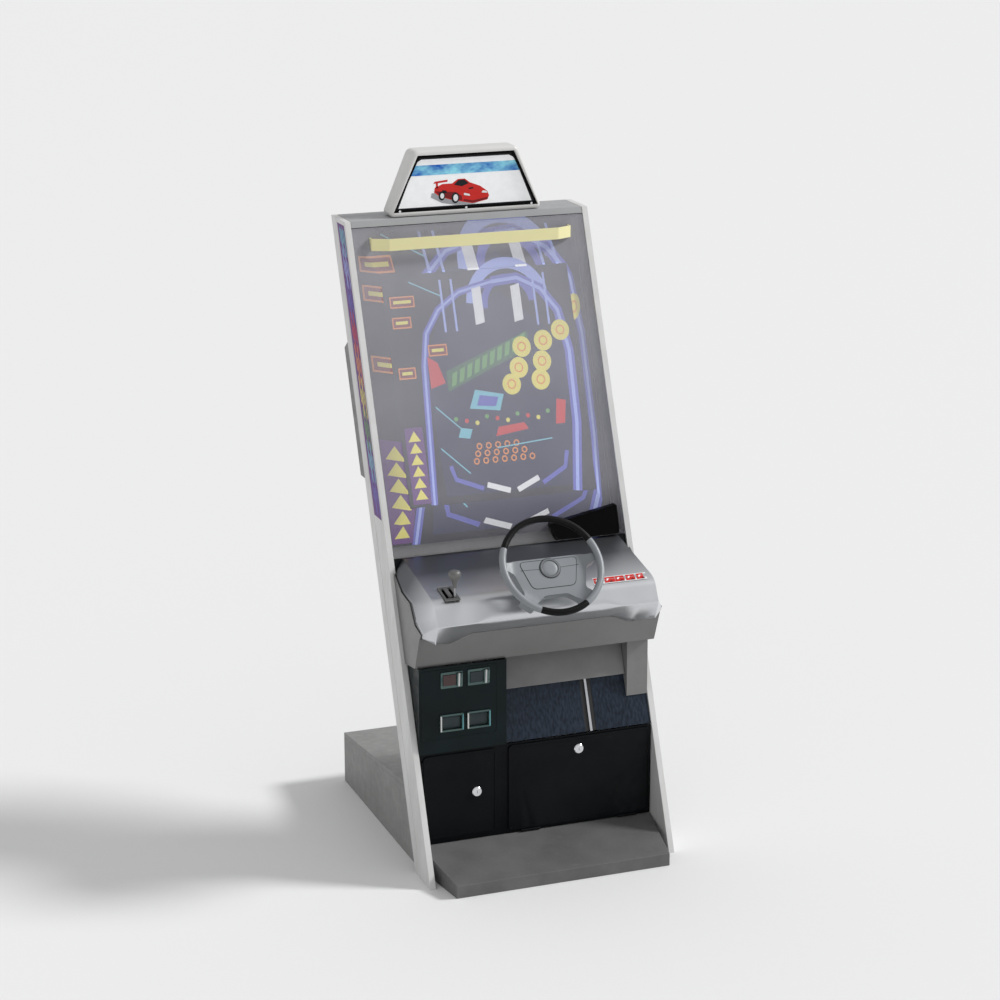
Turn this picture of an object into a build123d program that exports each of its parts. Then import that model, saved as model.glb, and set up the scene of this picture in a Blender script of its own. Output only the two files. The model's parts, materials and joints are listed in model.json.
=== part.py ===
from build123d import *
import math
import os

# A stand-up racing cabinet: a thin slab that leans back between two side boards, on a low
# wedge base, with a foot ramp, a driving console, a coin and cash section and a roof sign.
# Millimetres. X is the player's right, +Y is towards the back, +Z is up.
# The numbers below are measured from the floor tips of the side boards (y = 0), and every
# piece is moved on export so that the middle of the whole cabinet's floor plan is the origin.

# ---------------------------------------------------------------- driving dimensions
cabinet_width = 760.0
board_thick = 18.0
roof_height = 1800.0
lean_angle = 21.7
slab_depth = 132.0
panel_gap = 1.0

ramp_front = -81.0
ramp_back = 144.0
ramp_front_height = 38.0
ramp_back_height = 74.0

base_back = 875.0
base_back_height = 160.0
base_slope = 0.104
base_board = 15.0

door_plane = 141.0
door_thick = 3.0
door_section_top = 354.0
coin_section_top = 615.0
coin_section_right = -95.0

steer_tilt = 41.0
glass_low = 886.0
glass_high = 1780.0

wheel_centre_y = 31.0
wheel_centre_z = 919.0
rim_radius = 144.0
rim_section = 10.0
shaft_radius = 9.0
running_gap = 0.05

sign_front = 727.0
sign_back = 793.0
sign_height = 193.0
sign_bottom_half = 242.0
sign_top_half = 162.0

# ---------------------------------------------------------------- worked-out dimensions
half_width = cabinet_width / 2
inner_half = half_width - board_thick
fit_half = inner_half - panel_gap
lean = math.tan(math.radians(lean_angle))
centre_y = (ramp_front + base_back) / 2
base_front_height = base_back_height + base_slope * (base_back - ramp_back)
door_back = door_plane + door_thick
frame_front = door_back + 0.5
frame_back = frame_front + 2.5

parts = {}


def keep(name, shape):
    """Store a piece under its node name."""
    parts[name] = shape


# ---------------------------------------------------------------- shape helpers
def block(x0, x1, y0, y1, z0, z1):
    """A box between two corners."""
    middle = Pos((x0 + x1) / 2, (y0 + y1) / 2, (z0 + z1) / 2)
    return middle * Box(x1 - x0, y1 - y0, z1 - z0)


def side_prism(points, x0, x1):
    """A side outline of (y, z) points, carried from x0 to x1."""
    outline = Plane.YZ * make_face(Polyline(*points, close=True))
    return Pos(x0, 0, 0) * extrude(outline, amount=x1 - x0, dir=(1, 0, 0))


def plan_prism(points, z0, z1):
    """A plan outline of (x, y) points, carried from z0 to z1."""
    outline = make_face(Polyline(*points, close=True))
    return Pos(0, 0, z0) * extrude(outline, amount=z1 - z0, dir=(0, 0, 1))


def front_prism(points, y0, y1):
    """A front outline of (x, z) points, carried from y0 to y1."""
    outline = Plane.XZ * make_face(Polyline(*points, close=True))
    return Pos(0, y0, 0) * extrude(outline, amount=y1 - y0, dir=(0, 1, 0))


def slab(x0, x1, z0, z1, front, back):
    """A leaning board with level ends; front and back are measured level from the lean."""
    outline = [
        (lean * z0 + front, z0),
        (lean * z0 + back, z0),
        (lean * z1 + back, z1),
        (lean * z1 + front, z1),
    ]
    return side_prism(outline, x0, x1)


def plate(x0, x1, z0, z1, y0, y1, radius):
    """An upright plate with rounded corners."""
    middle = Pos((x0 + x1) / 2, y0, (z0 + z1) / 2)
    outline = Plane.XZ * RectangleRounded(x1 - x0, z1 - z0, radius)
    return middle * extrude(outline, amount=y1 - y0, dir=(0, 1, 0))


def rod_x(x0, x1, y, z, radius):
    return Pos((x0 + x1) / 2, y, z) * Rot(0, 90, 0) * Cylinder(radius, x1 - x0)


def rod_y(x, y0, y1, z, radius):
    return Pos(x, (y0 + y1) / 2, z) * Rot(90, 0, 0) * Cylinder(radius, y1 - y0)


def rod_z(x, y, z0, z1, radius):
    return Pos(x, y, (z0 + z1) / 2) * Cylinder(radius, z1 - z0)


def both_sides(shape):
    """A shape on the right and its mirror image on the left, as separate solids."""
    return Compound([shape, mirror(shape, Plane.YZ)])


def group(shapes):
    """Several like pieces that share a node, as separate solids."""
    solids = []
    for shape in shapes:
        solids += list(shape.solids())
    return Compound(solids)


# ---------------------------------------------------------------- side boards and slab
def side_board():
    """One leaning side board on the right, with the shadow groove on its outer face."""
    board = slab(inner_half, half_width, 0, roof_height, 0, slab_depth)
    groove_front = 84.0
    groove_width = 3.0
    groove_deep = 2.0
    groove = slab(
        half_width - groove_deep,
        half_width + 1,
        -1,
        roof_height + 1,
        groove_front,
        groove_front + groove_width,
    )
    return board - groove


def side_art():
    """The printed sheet let into the upper half of the right board's outer face."""
    low = 985.0
    high = 1788.0
    return slab(half_width, half_width + 0.4, low, high, 12, 78)


def slab_panels():
    roof_thick = 18.0
    roof = slab(-fit_half, fit_half, roof_height - roof_thick, roof_height, 1, slab_depth)
    back_thick = 16.0
    back_low = 232.0
    back = slab(
        -fit_half,
        fit_half,
        back_low,
        roof_height - roof_thick - panel_gap,
        slab_depth - back_thick,
        slab_depth,
    )
    keep("roof_panel", roof)
    keep("back_panel", back)
    battens = []
    for low in (1120.0, 1500.0):
        battens.append(slab(-fit_half, fit_half, low, low + 30, 96, slab_depth - back_thick))
    for side in (-1, 1):
        x0, x1 = sorted((side * fit_half, side * (fit_half - 3)))
        battens.append(slab(x0, x1, glass_low, glass_high, 8.2, 80))
    keep("inner_battens", group(battens))


def rear_cover():
    """The sheet-steel hump that houses the electronics, louvred, screwed to the back."""
    proud = 103.0
    low = 1054.0
    high = 1410.0
    top = 1470.0
    wall = 2.0
    foot = slab_depth + 0.2

    def outline(inset, front):
        return [
            (lean * (low + inset) + front, low + inset),
            (lean * (low + inset) + slab_depth + proud - inset, low + inset),
            (lean * high + slab_depth + proud - inset, high - inset / 2),
            (lean * top + slab_depth + 1, top - inset),
            (lean * top + front, top - inset),
        ]

    shell = side_prism(outline(0, foot), -inner_half, inner_half)
    hollow = side_prism(outline(wall, foot - 6), -inner_half + wall, inner_half - wall)
    cover = shell - hollow
    for side in (-1, 1):
        for row in range(9):
            height = 1180.0 + row * 18
            middle = side * 170.0
            slot = slab(
                middle - 90,
                middle + 90,
                height,
                height + 6,
                slab_depth + proud - 8,
                slab_depth + proud + 5,
            )
            cover -= slot
    inlet_hole = slab(225, 275, 1085, 1115, slab_depth + proud - 8, slab_depth + proud + 5)
    switch_hole = slab(180, 204, 1085, 1115, slab_depth + proud - 8, slab_depth + proud + 5)
    cover = cover - inlet_hole - switch_hole
    keep("rear_cover", cover)
    outer = slab_depth + proud
    inlet = slab(226, 274, 1086, 1114, outer - 34, outer + 0.5)
    inlet += slab(218, 282, 1080, 1120, outer + 0.2, outer + 3)
    socket = slab(234, 266, 1091, 1109, outer - 22, outer + 4)
    earth = slab(248, 252, 1098, 1102, outer - 24, outer - 8)
    live = slab(240, 244, 1098, 1102, outer - 24, outer - 8)
    neutral = slab(256, 260, 1098, 1102, outer - 24, outer - 8)
    inlet = inlet - socket + earth + live + neutral
    bezel = slab(181, 203, 1086, 1114, outer - 26, outer + 0.5)
    bezel += slab(176, 208, 1080, 1120, outer + 0.2, outer + 3)
    well = slab(184.5, 199.5, 1089.5, 1110.5, outer - 18, outer + 4)
    axle_y = lean * 1100 + outer - 5
    bezel = bezel - well - rod_x(182.5, 201.5, axle_y, 1100, 1.5 + running_gap)
    keep("power_inlet", group([inlet, bezel]))
    rocker = slab(185.5, 198.5, 1091.5, 1108.5, outer - 12, outer + 2.5)
    rocker_top = slab(184, 200, 1100, 1111, outer + 1.2, outer + 4)
    rocker = rocker - rocker_top + rod_x(183, 201, axle_y, 1100, 1.5)
    keep("power_rocker", rocker)


def cover_screws():
    """The screws of the rear cover and of the roof sign."""
    screws = []
    for height in (1075.0, 1235.0, 1390.0):
        y = lean * height + slab_depth + 36
        head = rod_x(inner_half, inner_half + 2.2, y, height, 4.5)
        screws += [head, mirror(head, Plane.YZ)]
    for x in (-206, 0, 206):
        screws.append(rod_y(x, sign_front + 2.4, sign_front + 4, roof_height + 18, 3.5))
    keep("cover_screws", group(screws))


def electronics():
    """What the rear cover houses: a computer board on standoffs, and a power supply."""
    board = slab(-270, 20, 1140, 1370, slab_depth + 10, slab_depth + 12)
    legs = []
    for x in (-262.0, 12.0):
        for height in (1150.0, 1360.0):
            y = lean * height + slab_depth
            legs.append(rod_y(x, y - 5, y + 11, height, 3.0))
    room = slab(-300, 300, 1100, 1400, slab_depth + 0.1, slab_depth + 60)
    for leg in legs:
        board += leg & room
    for x, height, size in ((-190, 1300, 40), (-90, 1300, 30), (-60, 1200, 44), (-220, 1190, 26)):
        board += slab(x, x + size, height, height + size, slab_depth + 11.8, slab_depth + 17)
    supply = slab(80, 270, 1170, 1370, slab_depth + 0.1, slab_depth + 58)
    keep("game_electronics", group([board, supply]))


# ---------------------------------------------------------------- base and foot ramp
def base():
    def top_at(y):
        return base_back_height + base_slope * (base_back - y)

    side_outline = [
        (ramp_back + 4, 0),
        (base_back - base_board, 0),
        (base_back - base_board, top_at(base_back - base_board) - base_board),
        (ramp_back + 4, top_at(ramp_back + 4) - base_board),
    ]
    right = side_prism(side_outline, fit_half - board_thick, fit_half)
    top_front = slab_depth + lean * 226 + 4
    top_outline = [
        (top_front, top_at(top_front) - base_board + 0.2),
        (base_back, base_back_height - base_board + 0.2),
        (base_back, base_back_height),
        (top_front, top_at(top_front)),
    ]
    keep("base_top_panel", side_prism(top_outline, -fit_half, fit_half))
    rear = block(
        -fit_half,
        fit_half,
        base_back - base_board + 0.2,
        base_back,
        0,
        base_back_height - base_board,
    )
    keep("base_walls", group([right, mirror(right, Plane.YZ), rear]))
    floor_top = ramp_back_height
    floor_thick = 12.0
    floor_back = base_back - base_board - 1
    floor = block(
        -fit_half + 19, fit_half - 19, ramp_back + 8, floor_back, floor_top - floor_thick, floor_top
    )
    feet = []
    for x in (-300.0, 300.0):
        for y in (200.0, 800.0):
            feet.append(rod_z(x, y, 0, 8, 18) + rod_z(x, y, 8, floor_top - floor_thick - 0.1, 6))
    keep("lower_floor", floor)
    keep("levelling_feet", group(feet))


def foot_ramp():
    """The wedge the player stands on, narrower at its front corners."""
    profile = [
        (ramp_front, 0),
        (ramp_back, 0),
        (ramp_back, ramp_back_height),
        (ramp_front, ramp_front_height),
    ]
    wedge = side_prism(profile, -fit_half, fit_half)
    front_half = 328.0
    plan = [
        (-front_half, ramp_front - 1),
        (front_half, ramp_front - 1),
        (347, 52),
        (fit_half, 138),
        (fit_half, ramp_back + 1),
        (-fit_half, ramp_back + 1),
        (-fit_half, 138),
        (-347, 52),
    ]
    keep("foot_ramp", wedge & plan_prism(plan, -1, 100))


# ---------------------------------------------------------------- doors and locks
cash_door_left = -350.0
cash_door_right = -127.0
cash_door_low = 92.0
cash_door_high = 346.0
service_door_left = -89.0
service_door_right = 356.0
service_door_low = 84.0
service_door_high = 348.0
door_overlap = 8.0
hinge_pin_radius = 2.0
knuckle_radius = 3.6
knuckle_gap = 0.4
cash_hinge_x = -355.0
cash_hinge_y = 138.5
service_hinge_y = 138.5
service_hinge_z = 79.0
cash_lock_x = -187.0
cash_lock_z = 221.0
service_lock_x = 130.0
service_lock_z = 310.0
cam_front = frame_back + 3.0


def door_frame():
    sheet = block(-fit_half, fit_half, frame_front, frame_back, 74.5, door_section_top)
    for x0, x1, z0, z1 in (
        (cash_door_left, cash_door_right, cash_door_low, cash_door_high),
        (service_door_left, service_door_right, service_door_low, service_door_high),
    ):
        sheet -= plate(
            x0 + door_overlap,
            x1 - door_overlap,
            z0 + door_overlap,
            z1 - door_overlap,
            frame_front - 1,
            frame_back + 1,
            6,
        )
    for barrel in cash_hinge_fixed() + service_hinge_fixed():
        sheet += barrel
    keep("door_frame", sheet)


def door_leaf(x0, x1, z0, z1, lock_x, lock_z):
    """A flat steel door with a raised bead round its edge and a hole for its lock."""
    leaf = plate(x0, x1, z0, z1, door_plane, door_back, 12)
    bead = plate(x0, x1, z0, z1, door_plane - 2, door_plane, 12)
    bead -= plate(x0 + 5, x1 - 5, z0 + 5, z1 - 5, door_plane - 3, door_plane + 1, 8)
    return leaf + bead - rod_y(lock_x, door_plane - 1, door_back + 1, lock_z, 9.5)


def lock_body(x, z):
    """Face ring and barrel of a cam lock, bored for its plug."""
    ring = rod_y(x, door_plane - 5, door_plane, z, 15)
    ring = chamfer(ring.edges().filter_by(GeomType.CIRCLE).sort_by(Axis.Y)[0], 2)
    barrel = rod_y(x, door_plane - 1, cam_front - 0.4, z, 9.4)
    nut = rod_y(x, door_back + 0.01, door_back + 3, z, 13)
    return ring + barrel + nut - rod_y(x, door_plane - 6, cam_front + 1, z, 6.5 + running_gap)


def lock_plug(x, z, reach, direction):
    """The plug with its key slot, and the cam on its tail."""
    plug = rod_y(x, door_plane - 4.6, cam_front + 3, z, 6.5)
    plug -= block(x - 0.8, x + 0.8, door_plane - 6, door_plane + 2, z - 4, z + 4)
    if direction == "up":
        cam = block(x - 8, x + 8, cam_front, cam_front + 2.5, z - 9, z + reach)
    else:
        cam = block(x - 9, x + reach, cam_front, cam_front + 2.5, z - 8, z + 8)
    return plug + cam


cash_hinges = (135.0, 303.0)
service_hinges = (-20.0, 285.0)


def cash_hinge_fixed():
    """The middle knuckles of the cash door's hinges, with their tails to the frame."""
    knuckles = []
    for middle in cash_hinges:
        low = middle - 10 + knuckle_gap
        high = middle + 10 - knuckle_gap
        barrel = rod_z(cash_hinge_x, cash_hinge_y, low, high, knuckle_radius)
        tail = block(cash_hinge_x - 2.4, cash_hinge_x, cash_hinge_y, frame_front + 0.1, low, high)
        bore = rod_z(cash_hinge_x, cash_hinge_y, low - 1, high + 1, hinge_pin_radius)
        knuckles.append(barrel + tail - bore)
    return knuckles


def service_hinge_fixed():
    """The middle knuckles of the service door's hinges, with their tails to the frame."""
    knuckles = []
    for middle in service_hinges:
        low = middle - 10 + knuckle_gap
        high = middle + 10 - knuckle_gap
        barrel = rod_x(low, high, service_hinge_y, service_hinge_z, knuckle_radius)
        tail = block(
            low, high, service_hinge_y, frame_front + 0.1, service_hinge_z - 3.2, service_hinge_z - 0.8
        )
        bore = rod_x(low - 1, high + 1, service_hinge_y, service_hinge_z, hinge_pin_radius)
        knuckles.append(barrel + tail - bore)
    return knuckles


def hinge_pins():
    """The pins of both doors' hinges and of the coin return flaps."""
    pins = []
    for middle in cash_hinges:
        pins.append(rod_z(cash_hinge_x, cash_hinge_y, middle - 30, middle + 30, hinge_pin_radius))
    for middle in service_hinges:
        pin = rod_x(middle - 30, middle + 30, service_hinge_y, service_hinge_z, hinge_pin_radius)
        pins.append(pin)
    for x in coin_columns:
        pins.append(rod_x(x - 33, x + 33, flap_pin_y, flap_pin_z, flap_pin_radius))
    keep("hinge_pins", group(pins))


def cash_door():
    leaf = door_leaf(
        cash_door_left, cash_door_right, cash_door_low, cash_door_high, cash_lock_x, cash_lock_z
    )
    bore = hinge_pin_radius + running_gap
    for middle in cash_hinges:
        for end in (-1, 1):
            low = middle + end * 20 - 10
            leaf += rod_z(cash_hinge_x, cash_hinge_y, low, low + 20, knuckle_radius)
            leaf += block(
                cash_hinge_x, cash_door_left + 14, door_plane - 0.5, door_plane + 1, low, low + 20
            )
        leaf -= rod_z(cash_hinge_x, cash_hinge_y, middle - 31, middle + 31, bore)
    keep("cash_door", leaf)
    keep("cash_lock_body", lock_body(cash_lock_x, cash_lock_z))
    keep("cash_lock_plug", lock_plug(cash_lock_x, cash_lock_z, 60, "up"))


def service_door():
    leaf = door_leaf(
        service_door_left,
        service_door_right,
        service_door_low,
        service_door_high,
        service_lock_x,
        service_lock_z,
    )
    bore = hinge_pin_radius + running_gap
    strap_top = service_door_low + 14
    for middle in service_hinges:
        for end in (-1, 1):
            low = middle + end * 20 - 10
            leaf += rod_x(low, low + 20, service_hinge_y, service_hinge_z, knuckle_radius)
            leaf += block(
                low, low + 20, door_plane - 0.5, door_plane + 1, service_hinge_z, strap_top
            )
        leaf -= rod_x(middle - 31, middle + 31, service_hinge_y, service_hinge_z, bore)
    keep("service_door", leaf)
    keep("service_lock_body", lock_body(service_lock_x, service_lock_z))
    keep("service_lock_plug", lock_plug(service_lock_x, service_lock_z, 40, "side"))


def cash_box():
    """The open tray that catches the coins behind the cash door."""
    outer = block(-335, -140, 168, 400, 74.2, 170)
    inner = block(-333, -142, 170, 398, 76.2, 171)
    keep("cash_box", outer - inner)


# ---------------------------------------------------------------- coin section
coin_columns = (-263.0, -181.0)
reject_half = 19.0
reject_low = 558.0
reject_high = 590.0
flap_half = 29.0
flap_low = 424.0
flap_high = 464.0
flap_pin_y = 148.0
flap_pin_z = flap_high - 4.5
flap_pin_radius = 1.5


def coin_section():
    right = coin_section_right
    panel = block(-fit_half, right, door_plane, door_back, door_section_top + 0.5, coin_section_top)
    rib = plate(-355, -122, 396, 608, door_plane - 1.2, door_plane, 14)
    rib -= plate(-352, -125, 399, 605, door_plane - 2, door_plane + 1, 11)
    panel += rib
    bezels = []
    buttons = []
    entries = []
    returns = []
    flaps = []
    for x in coin_columns:
        panel -= block(x - 31, x + 31, door_plane - 1, door_back + 1, 553, 595)
        panel -= block(x - 34, x + 34, door_plane - 1, door_back + 1, 420, 468)
        bezel = plate(x - 33, x + 33, 550, 598, door_plane - 3, door_plane, 3)
        bezel += block(x - 30.8, x + 30.8, door_plane - 0.01, door_back + 12, 553.2, 594.8)
        bezel -= block(x - 27, x + 13, door_plane - 4, door_back + 13, 557, 591)
        bezel -= block(x + 19, x + 22, door_plane - 4, door_back + 13, 560, 588)
        bezels.append(bezel)
        button_x = x - 7
        face = block(
            button_x - reject_half, button_x + reject_half, door_plane - 5, door_back + 8,
            reject_low, reject_high
        )
        flange = block(
            button_x - 24, button_x + 24, door_back + 12.6, door_back + 15, reject_low - 4,
            reject_high + 4
        )
        stem = block(
            button_x - 12, button_x + 12, door_back + 7.9, door_back + 12.7, reject_low + 8,
            reject_high - 8
        )
        buttons.append(face + flange + stem)
        entry = block(x + 14.5, x + 18.2, door_plane - 9, door_plane - 3, 555, 593)
        entry += block(x + 22.8, x + 26.5, door_plane - 9, door_plane - 3, 555, 593)
        entries.append(entry)
        frame = plate(x - 36, x + 36, 418, 470, door_plane - 4, door_plane, 3)
        frame += block(x - 33.8, x + 33.8, door_plane - 0.01, door_back + 20, 420.2, 467.8)
        frame -= block(
            x - flap_half - 1, x + flap_half + 1, door_plane - 5, door_back + 17,
            flap_low - 1, flap_high + 1
        )
        frame -= rod_x(x - 33, x + 33, flap_pin_y, flap_pin_z, flap_pin_radius)
        returns.append(frame)
        flap = block(
            x - flap_half, x + flap_half, flap_pin_y - 1.5, flap_pin_y + 0.5, flap_low,
            flap_pin_z
        )
        flap += rod_x(x - flap_half, x + flap_half, flap_pin_y, flap_pin_z, 3.2)
        flap -= rod_x(x - 35, x + 35, flap_pin_y, flap_pin_z, flap_pin_radius + running_gap)
        flaps.append(flap)
    triangle = [
        (door_back - 0.1, (door_back - 0.1) / lean + 6),
        (door_back - 0.1, coin_section_top),
        (lean * coin_section_top - 1, coin_section_top),
    ]
    panel += side_prism(triangle, -fit_half, -fit_half + 3)
    panel += side_prism(triangle, right - 3, right)
    keep("coin_panel", panel)
    keep("coin_bezels", group(bezels + returns + entries))
    for side, button, flap in zip(("left", "right"), buttons, flaps):
        keep("reject_button_" + side, button)
        keep("return_flap_" + side, flap)
    mechs = []
    for x in coin_columns:
        mechs.append(block(x + 8, x + 33, door_back + 20, door_back + 70, 545, 600))
        chute = block(x + 8, x + 33, door_back + 22, door_back + 48, 478, 544.8)
        mechs.append(chute - block(x + 10, x + 31, door_back + 24, door_back + 46, 477, 546))
    keep("coin_mechs", group(mechs))


# ---------------------------------------------------------------- lower front panels
def lower_front():
    panel_top = 700.0
    panel_low = door_section_top + 3
    panel = slab(coin_section_right + 1, fit_half, panel_low, panel_top, 4, 9)
    channel_x = 172.0
    channel_half = 17.0
    panel -= slab(
        channel_x - channel_half, channel_x + channel_half, panel_low - 1, 503.5, 3, 7.5
    )
    strip = slab(channel_x - 4.5, channel_x + 4.5, panel_low, 503, 1.5, 7.4)
    keep("foot_well_panel", group([panel, strip]))
    cover = slab(coin_section_right + 1, 294, 505, 690, -14, 3.8)
    cover -= slab(coin_section_right + 3, 292, 507, 691, -12, 5)
    column_front = 175.0
    column_low = column_front / lean
    top = 640.0

    def column(inset, back):
        return [
            (column_front + inset, column_low + inset),
            (lean * column_low + inset + back, column_low + inset),
            (lean * top + back, top),
            (column_front + inset, top),
        ]

    box = side_prism(column(0, 3.8), 295, fit_half)
    box -= side_prism(column(2, 6), 297, fit_half - 2)
    keep("under_console_boxes", group([cover, box]))
    plate_back = slab(-fit_half, fit_half, 702, 880, 4, 9)
    keep("console_back_plate", plate_back)


# ---------------------------------------------------------------- console
console_wall = 4.0
top_slope = (874.0 - 834.0) / (307.0 - 97.0)


def console_ring(kind, inset):
    """Side outline of the console shell at one station, as (y, z) points."""
    if kind == "cheek":
        ring = [(345, 850), (266, 811), (196, 801), (150, 749), (93, 736), (96, 724), (345, 722)]
    else:
        lip = {"middle": (107, 718), "lobe": (116, 692), "corner": (66, 712)}[kind]
        ring = [(372, 886.4), (266, 866.2), (97, 834), (73, 822), (44, 768), lip, (372, 716)]
    if inset == 0:
        return ring
    crown = ring[:4]
    nose = ring[4]
    lip = ring[5]
    moved = [(y + inset * (0.2 if i < 2 else 0.6), z - inset * 1.05) for i, (y, z) in enumerate(crown)]
    moved[0] = (ring[0][0] + 10, ring[0][1] - inset * 0.8)
    moved.append((nose[0] + inset * 1.15, nose[1] - inset * 0.3))
    moved.append((lip[0] + inset * 1.3, lip[1] - inset * 2))
    moved.append((ring[6][0] + 10, ring[6][1] - inset * 3))
    return moved


def console_block(inset):
    """The console's outer form, or its hollow when inset is more than nothing."""
    stations = [
        (366, "cheek"), (335, "corner"), (283, "lobe"), (218, "middle"),
        (-218, "middle"), (-283, "lobe"), (-335, "corner"), (-366, "cheek"),
    ]
    sections = []
    for x, kind in stations:
        side = 1 if x > 0 else -1
        here = x - side * inset if abs(x) > 300 else x
        outline = Plane.YZ * make_face(Polyline(*console_ring(kind, inset), close=True))
        sections.append(Pos(here, 0, 0) * outline)
    return loft(sections, ruled=True)


def behind_lean(offset):
    """Everything behind the leaning front plane, as one large cutter."""
    far = 900.0
    return side_prism(
        [
            (lean * 500 + offset, 500),
            (lean * 500 + far, 500),
            (lean * 1000 + far, 1000),
            (lean * 1000 + offset, 1000),
        ],
        -500,
        500,
    )


steer_plane = Plane(
    origin=(0, wheel_centre_y, wheel_centre_z),
    x_dir=(1, 0, 0),
    z_dir=(0, -math.cos(math.radians(steer_tilt)), math.sin(math.radians(steer_tilt))),
)


def on_column(shape):
    """Move a shape from the steering column's own frame to the cabinet."""
    return steer_plane.location * shape


shaft_exit = -122.0
gate_left = -300.0
gate_right = -256.0
gate_front = 78.0
gate_back = 156.0
slot_left_x = -289.0
slot_right_x = -268.0
slot_near_y = 94.0
slot_far_y = 144.0
slot_half = 4.5
lever_radius = 3.5
pivot_drop = 62.0
gate_y = (gate_front + gate_back) / 2


def console_top_at(y):
    return 834.0 + top_slope * (y - 97.0)


def gate_slots(low, high, grow):
    """The U-shaped gate: two fore-and-aft slots joined at their near ends."""
    half = slot_half + grow
    pieces = []
    for x in (slot_left_x, slot_right_x):
        pieces.append(block(x - half, x + half, slot_near_y - half, slot_far_y + half, low, high))
    near = block(
        slot_left_x - half, slot_right_x + half, slot_near_y - half, slot_near_y + half, low, high
    )
    return pieces[0] + pieces[1] + near


def console():
    shell = console_block(0) - console_block(console_wall)
    shell -= behind_lean(-0.8)
    shell += on_column(Pos(0, 0, shaft_exit) * Cylinder(25, 18)) - console_block(console_wall)
    shell -= on_column(Pos(0, 0, shaft_exit) * Cylinder(14, 60))
    shell -= gate_slots(780, 900, 5)
    keep("console_shell", shell)
    skirt_low = 617.0
    cheek_face = [
        (149, skirt_low),
        (lean * 603 - 1, 603),
        (lean * 845 - 1, 845),
        (266, 808),
        (196, 798),
        (151, 746),
        (96, 734),
        (108, 717.5),
    ]
    sides = side_prism(cheek_face, 366.3, 369)
    front = side_prism(
        [(108, 717.5), (110.6, 717.5), (152, skirt_low), (149, skirt_low)], -369, 369
    )
    front -= Pos(0, 0, -0.5) * console_block(0)
    skirt = front + sides + mirror(sides, Plane.YZ)
    keep("console_skirt", skirt)


# ---------------------------------------------------------------- steering
def gear_outline(teeth, module, thin):
    """An involute gear's outline, its tooth thinned a little for backlash."""
    pitch = teeth * module / 2
    base_circle = pitch * math.cos(math.radians(20))
    tip = pitch + module
    root = pitch - 1.25 * module

    def roll(radius):
        turn = math.sqrt(max((radius / base_circle) ** 2 - 1, 0))
        return turn - math.atan(turn)

    half_tooth = math.pi / (2 * teeth) - thin / (2 * pitch) + roll(pitch)
    steps = 5
    points = []
    for tooth in range(teeth):
        middle = 2 * math.pi * tooth / teeth
        flank = []
        start = max(base_circle, root)
        for step in range(steps + 1):
            radius = start + (tip - start) * step / steps
            flank.append((radius, half_tooth - roll(radius)))
        rising = [(root, half_tooth)] + flank
        for radius, angle in rising:
            points.append((radius * math.cos(middle - angle), radius * math.sin(middle - angle)))
        for radius, angle in reversed(rising):
            points.append((radius * math.cos(middle + angle), radius * math.sin(middle + angle)))
    return make_face(Polyline(*points, close=True))


gear_module = 1.5
gear_teeth = 45
pinion_teeth = 18
gear_distance = gear_module * (gear_teeth + pinion_teeth) / 2
gear_low = -222.0
gear_high = -214.0
bearing_places = (-166.0, -246.0)
bearing_outer = 21.0


hub_face = -30.0
hub_back = -40.0


def rim_arc(start, span):
    """A stretch of the rim, from one angle through another, in degrees."""
    return Rot(0, 0, start) * Torus(rim_radius, rim_section, major_angle=span, align=None)


def hub_outline():
    """Half of the hub and its spokes, seen from the driver, mirrored to the other half."""
    right = [
        (0, 34),
        (100, 31),
        (118, 29),
        (141, 27),
        (142, 3),
        (118, -3),
        (101, -35),
        (89, -69),
        (98, -86),
        (109, -93),
        (72, -124),
        (52, -98),
        (30, -84),
        (0, -78),
    ]
    left = [(-x, y) for x, y in reversed(right[1:-1])]
    return make_face(Polyline(*(right + left), close=True))


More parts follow.
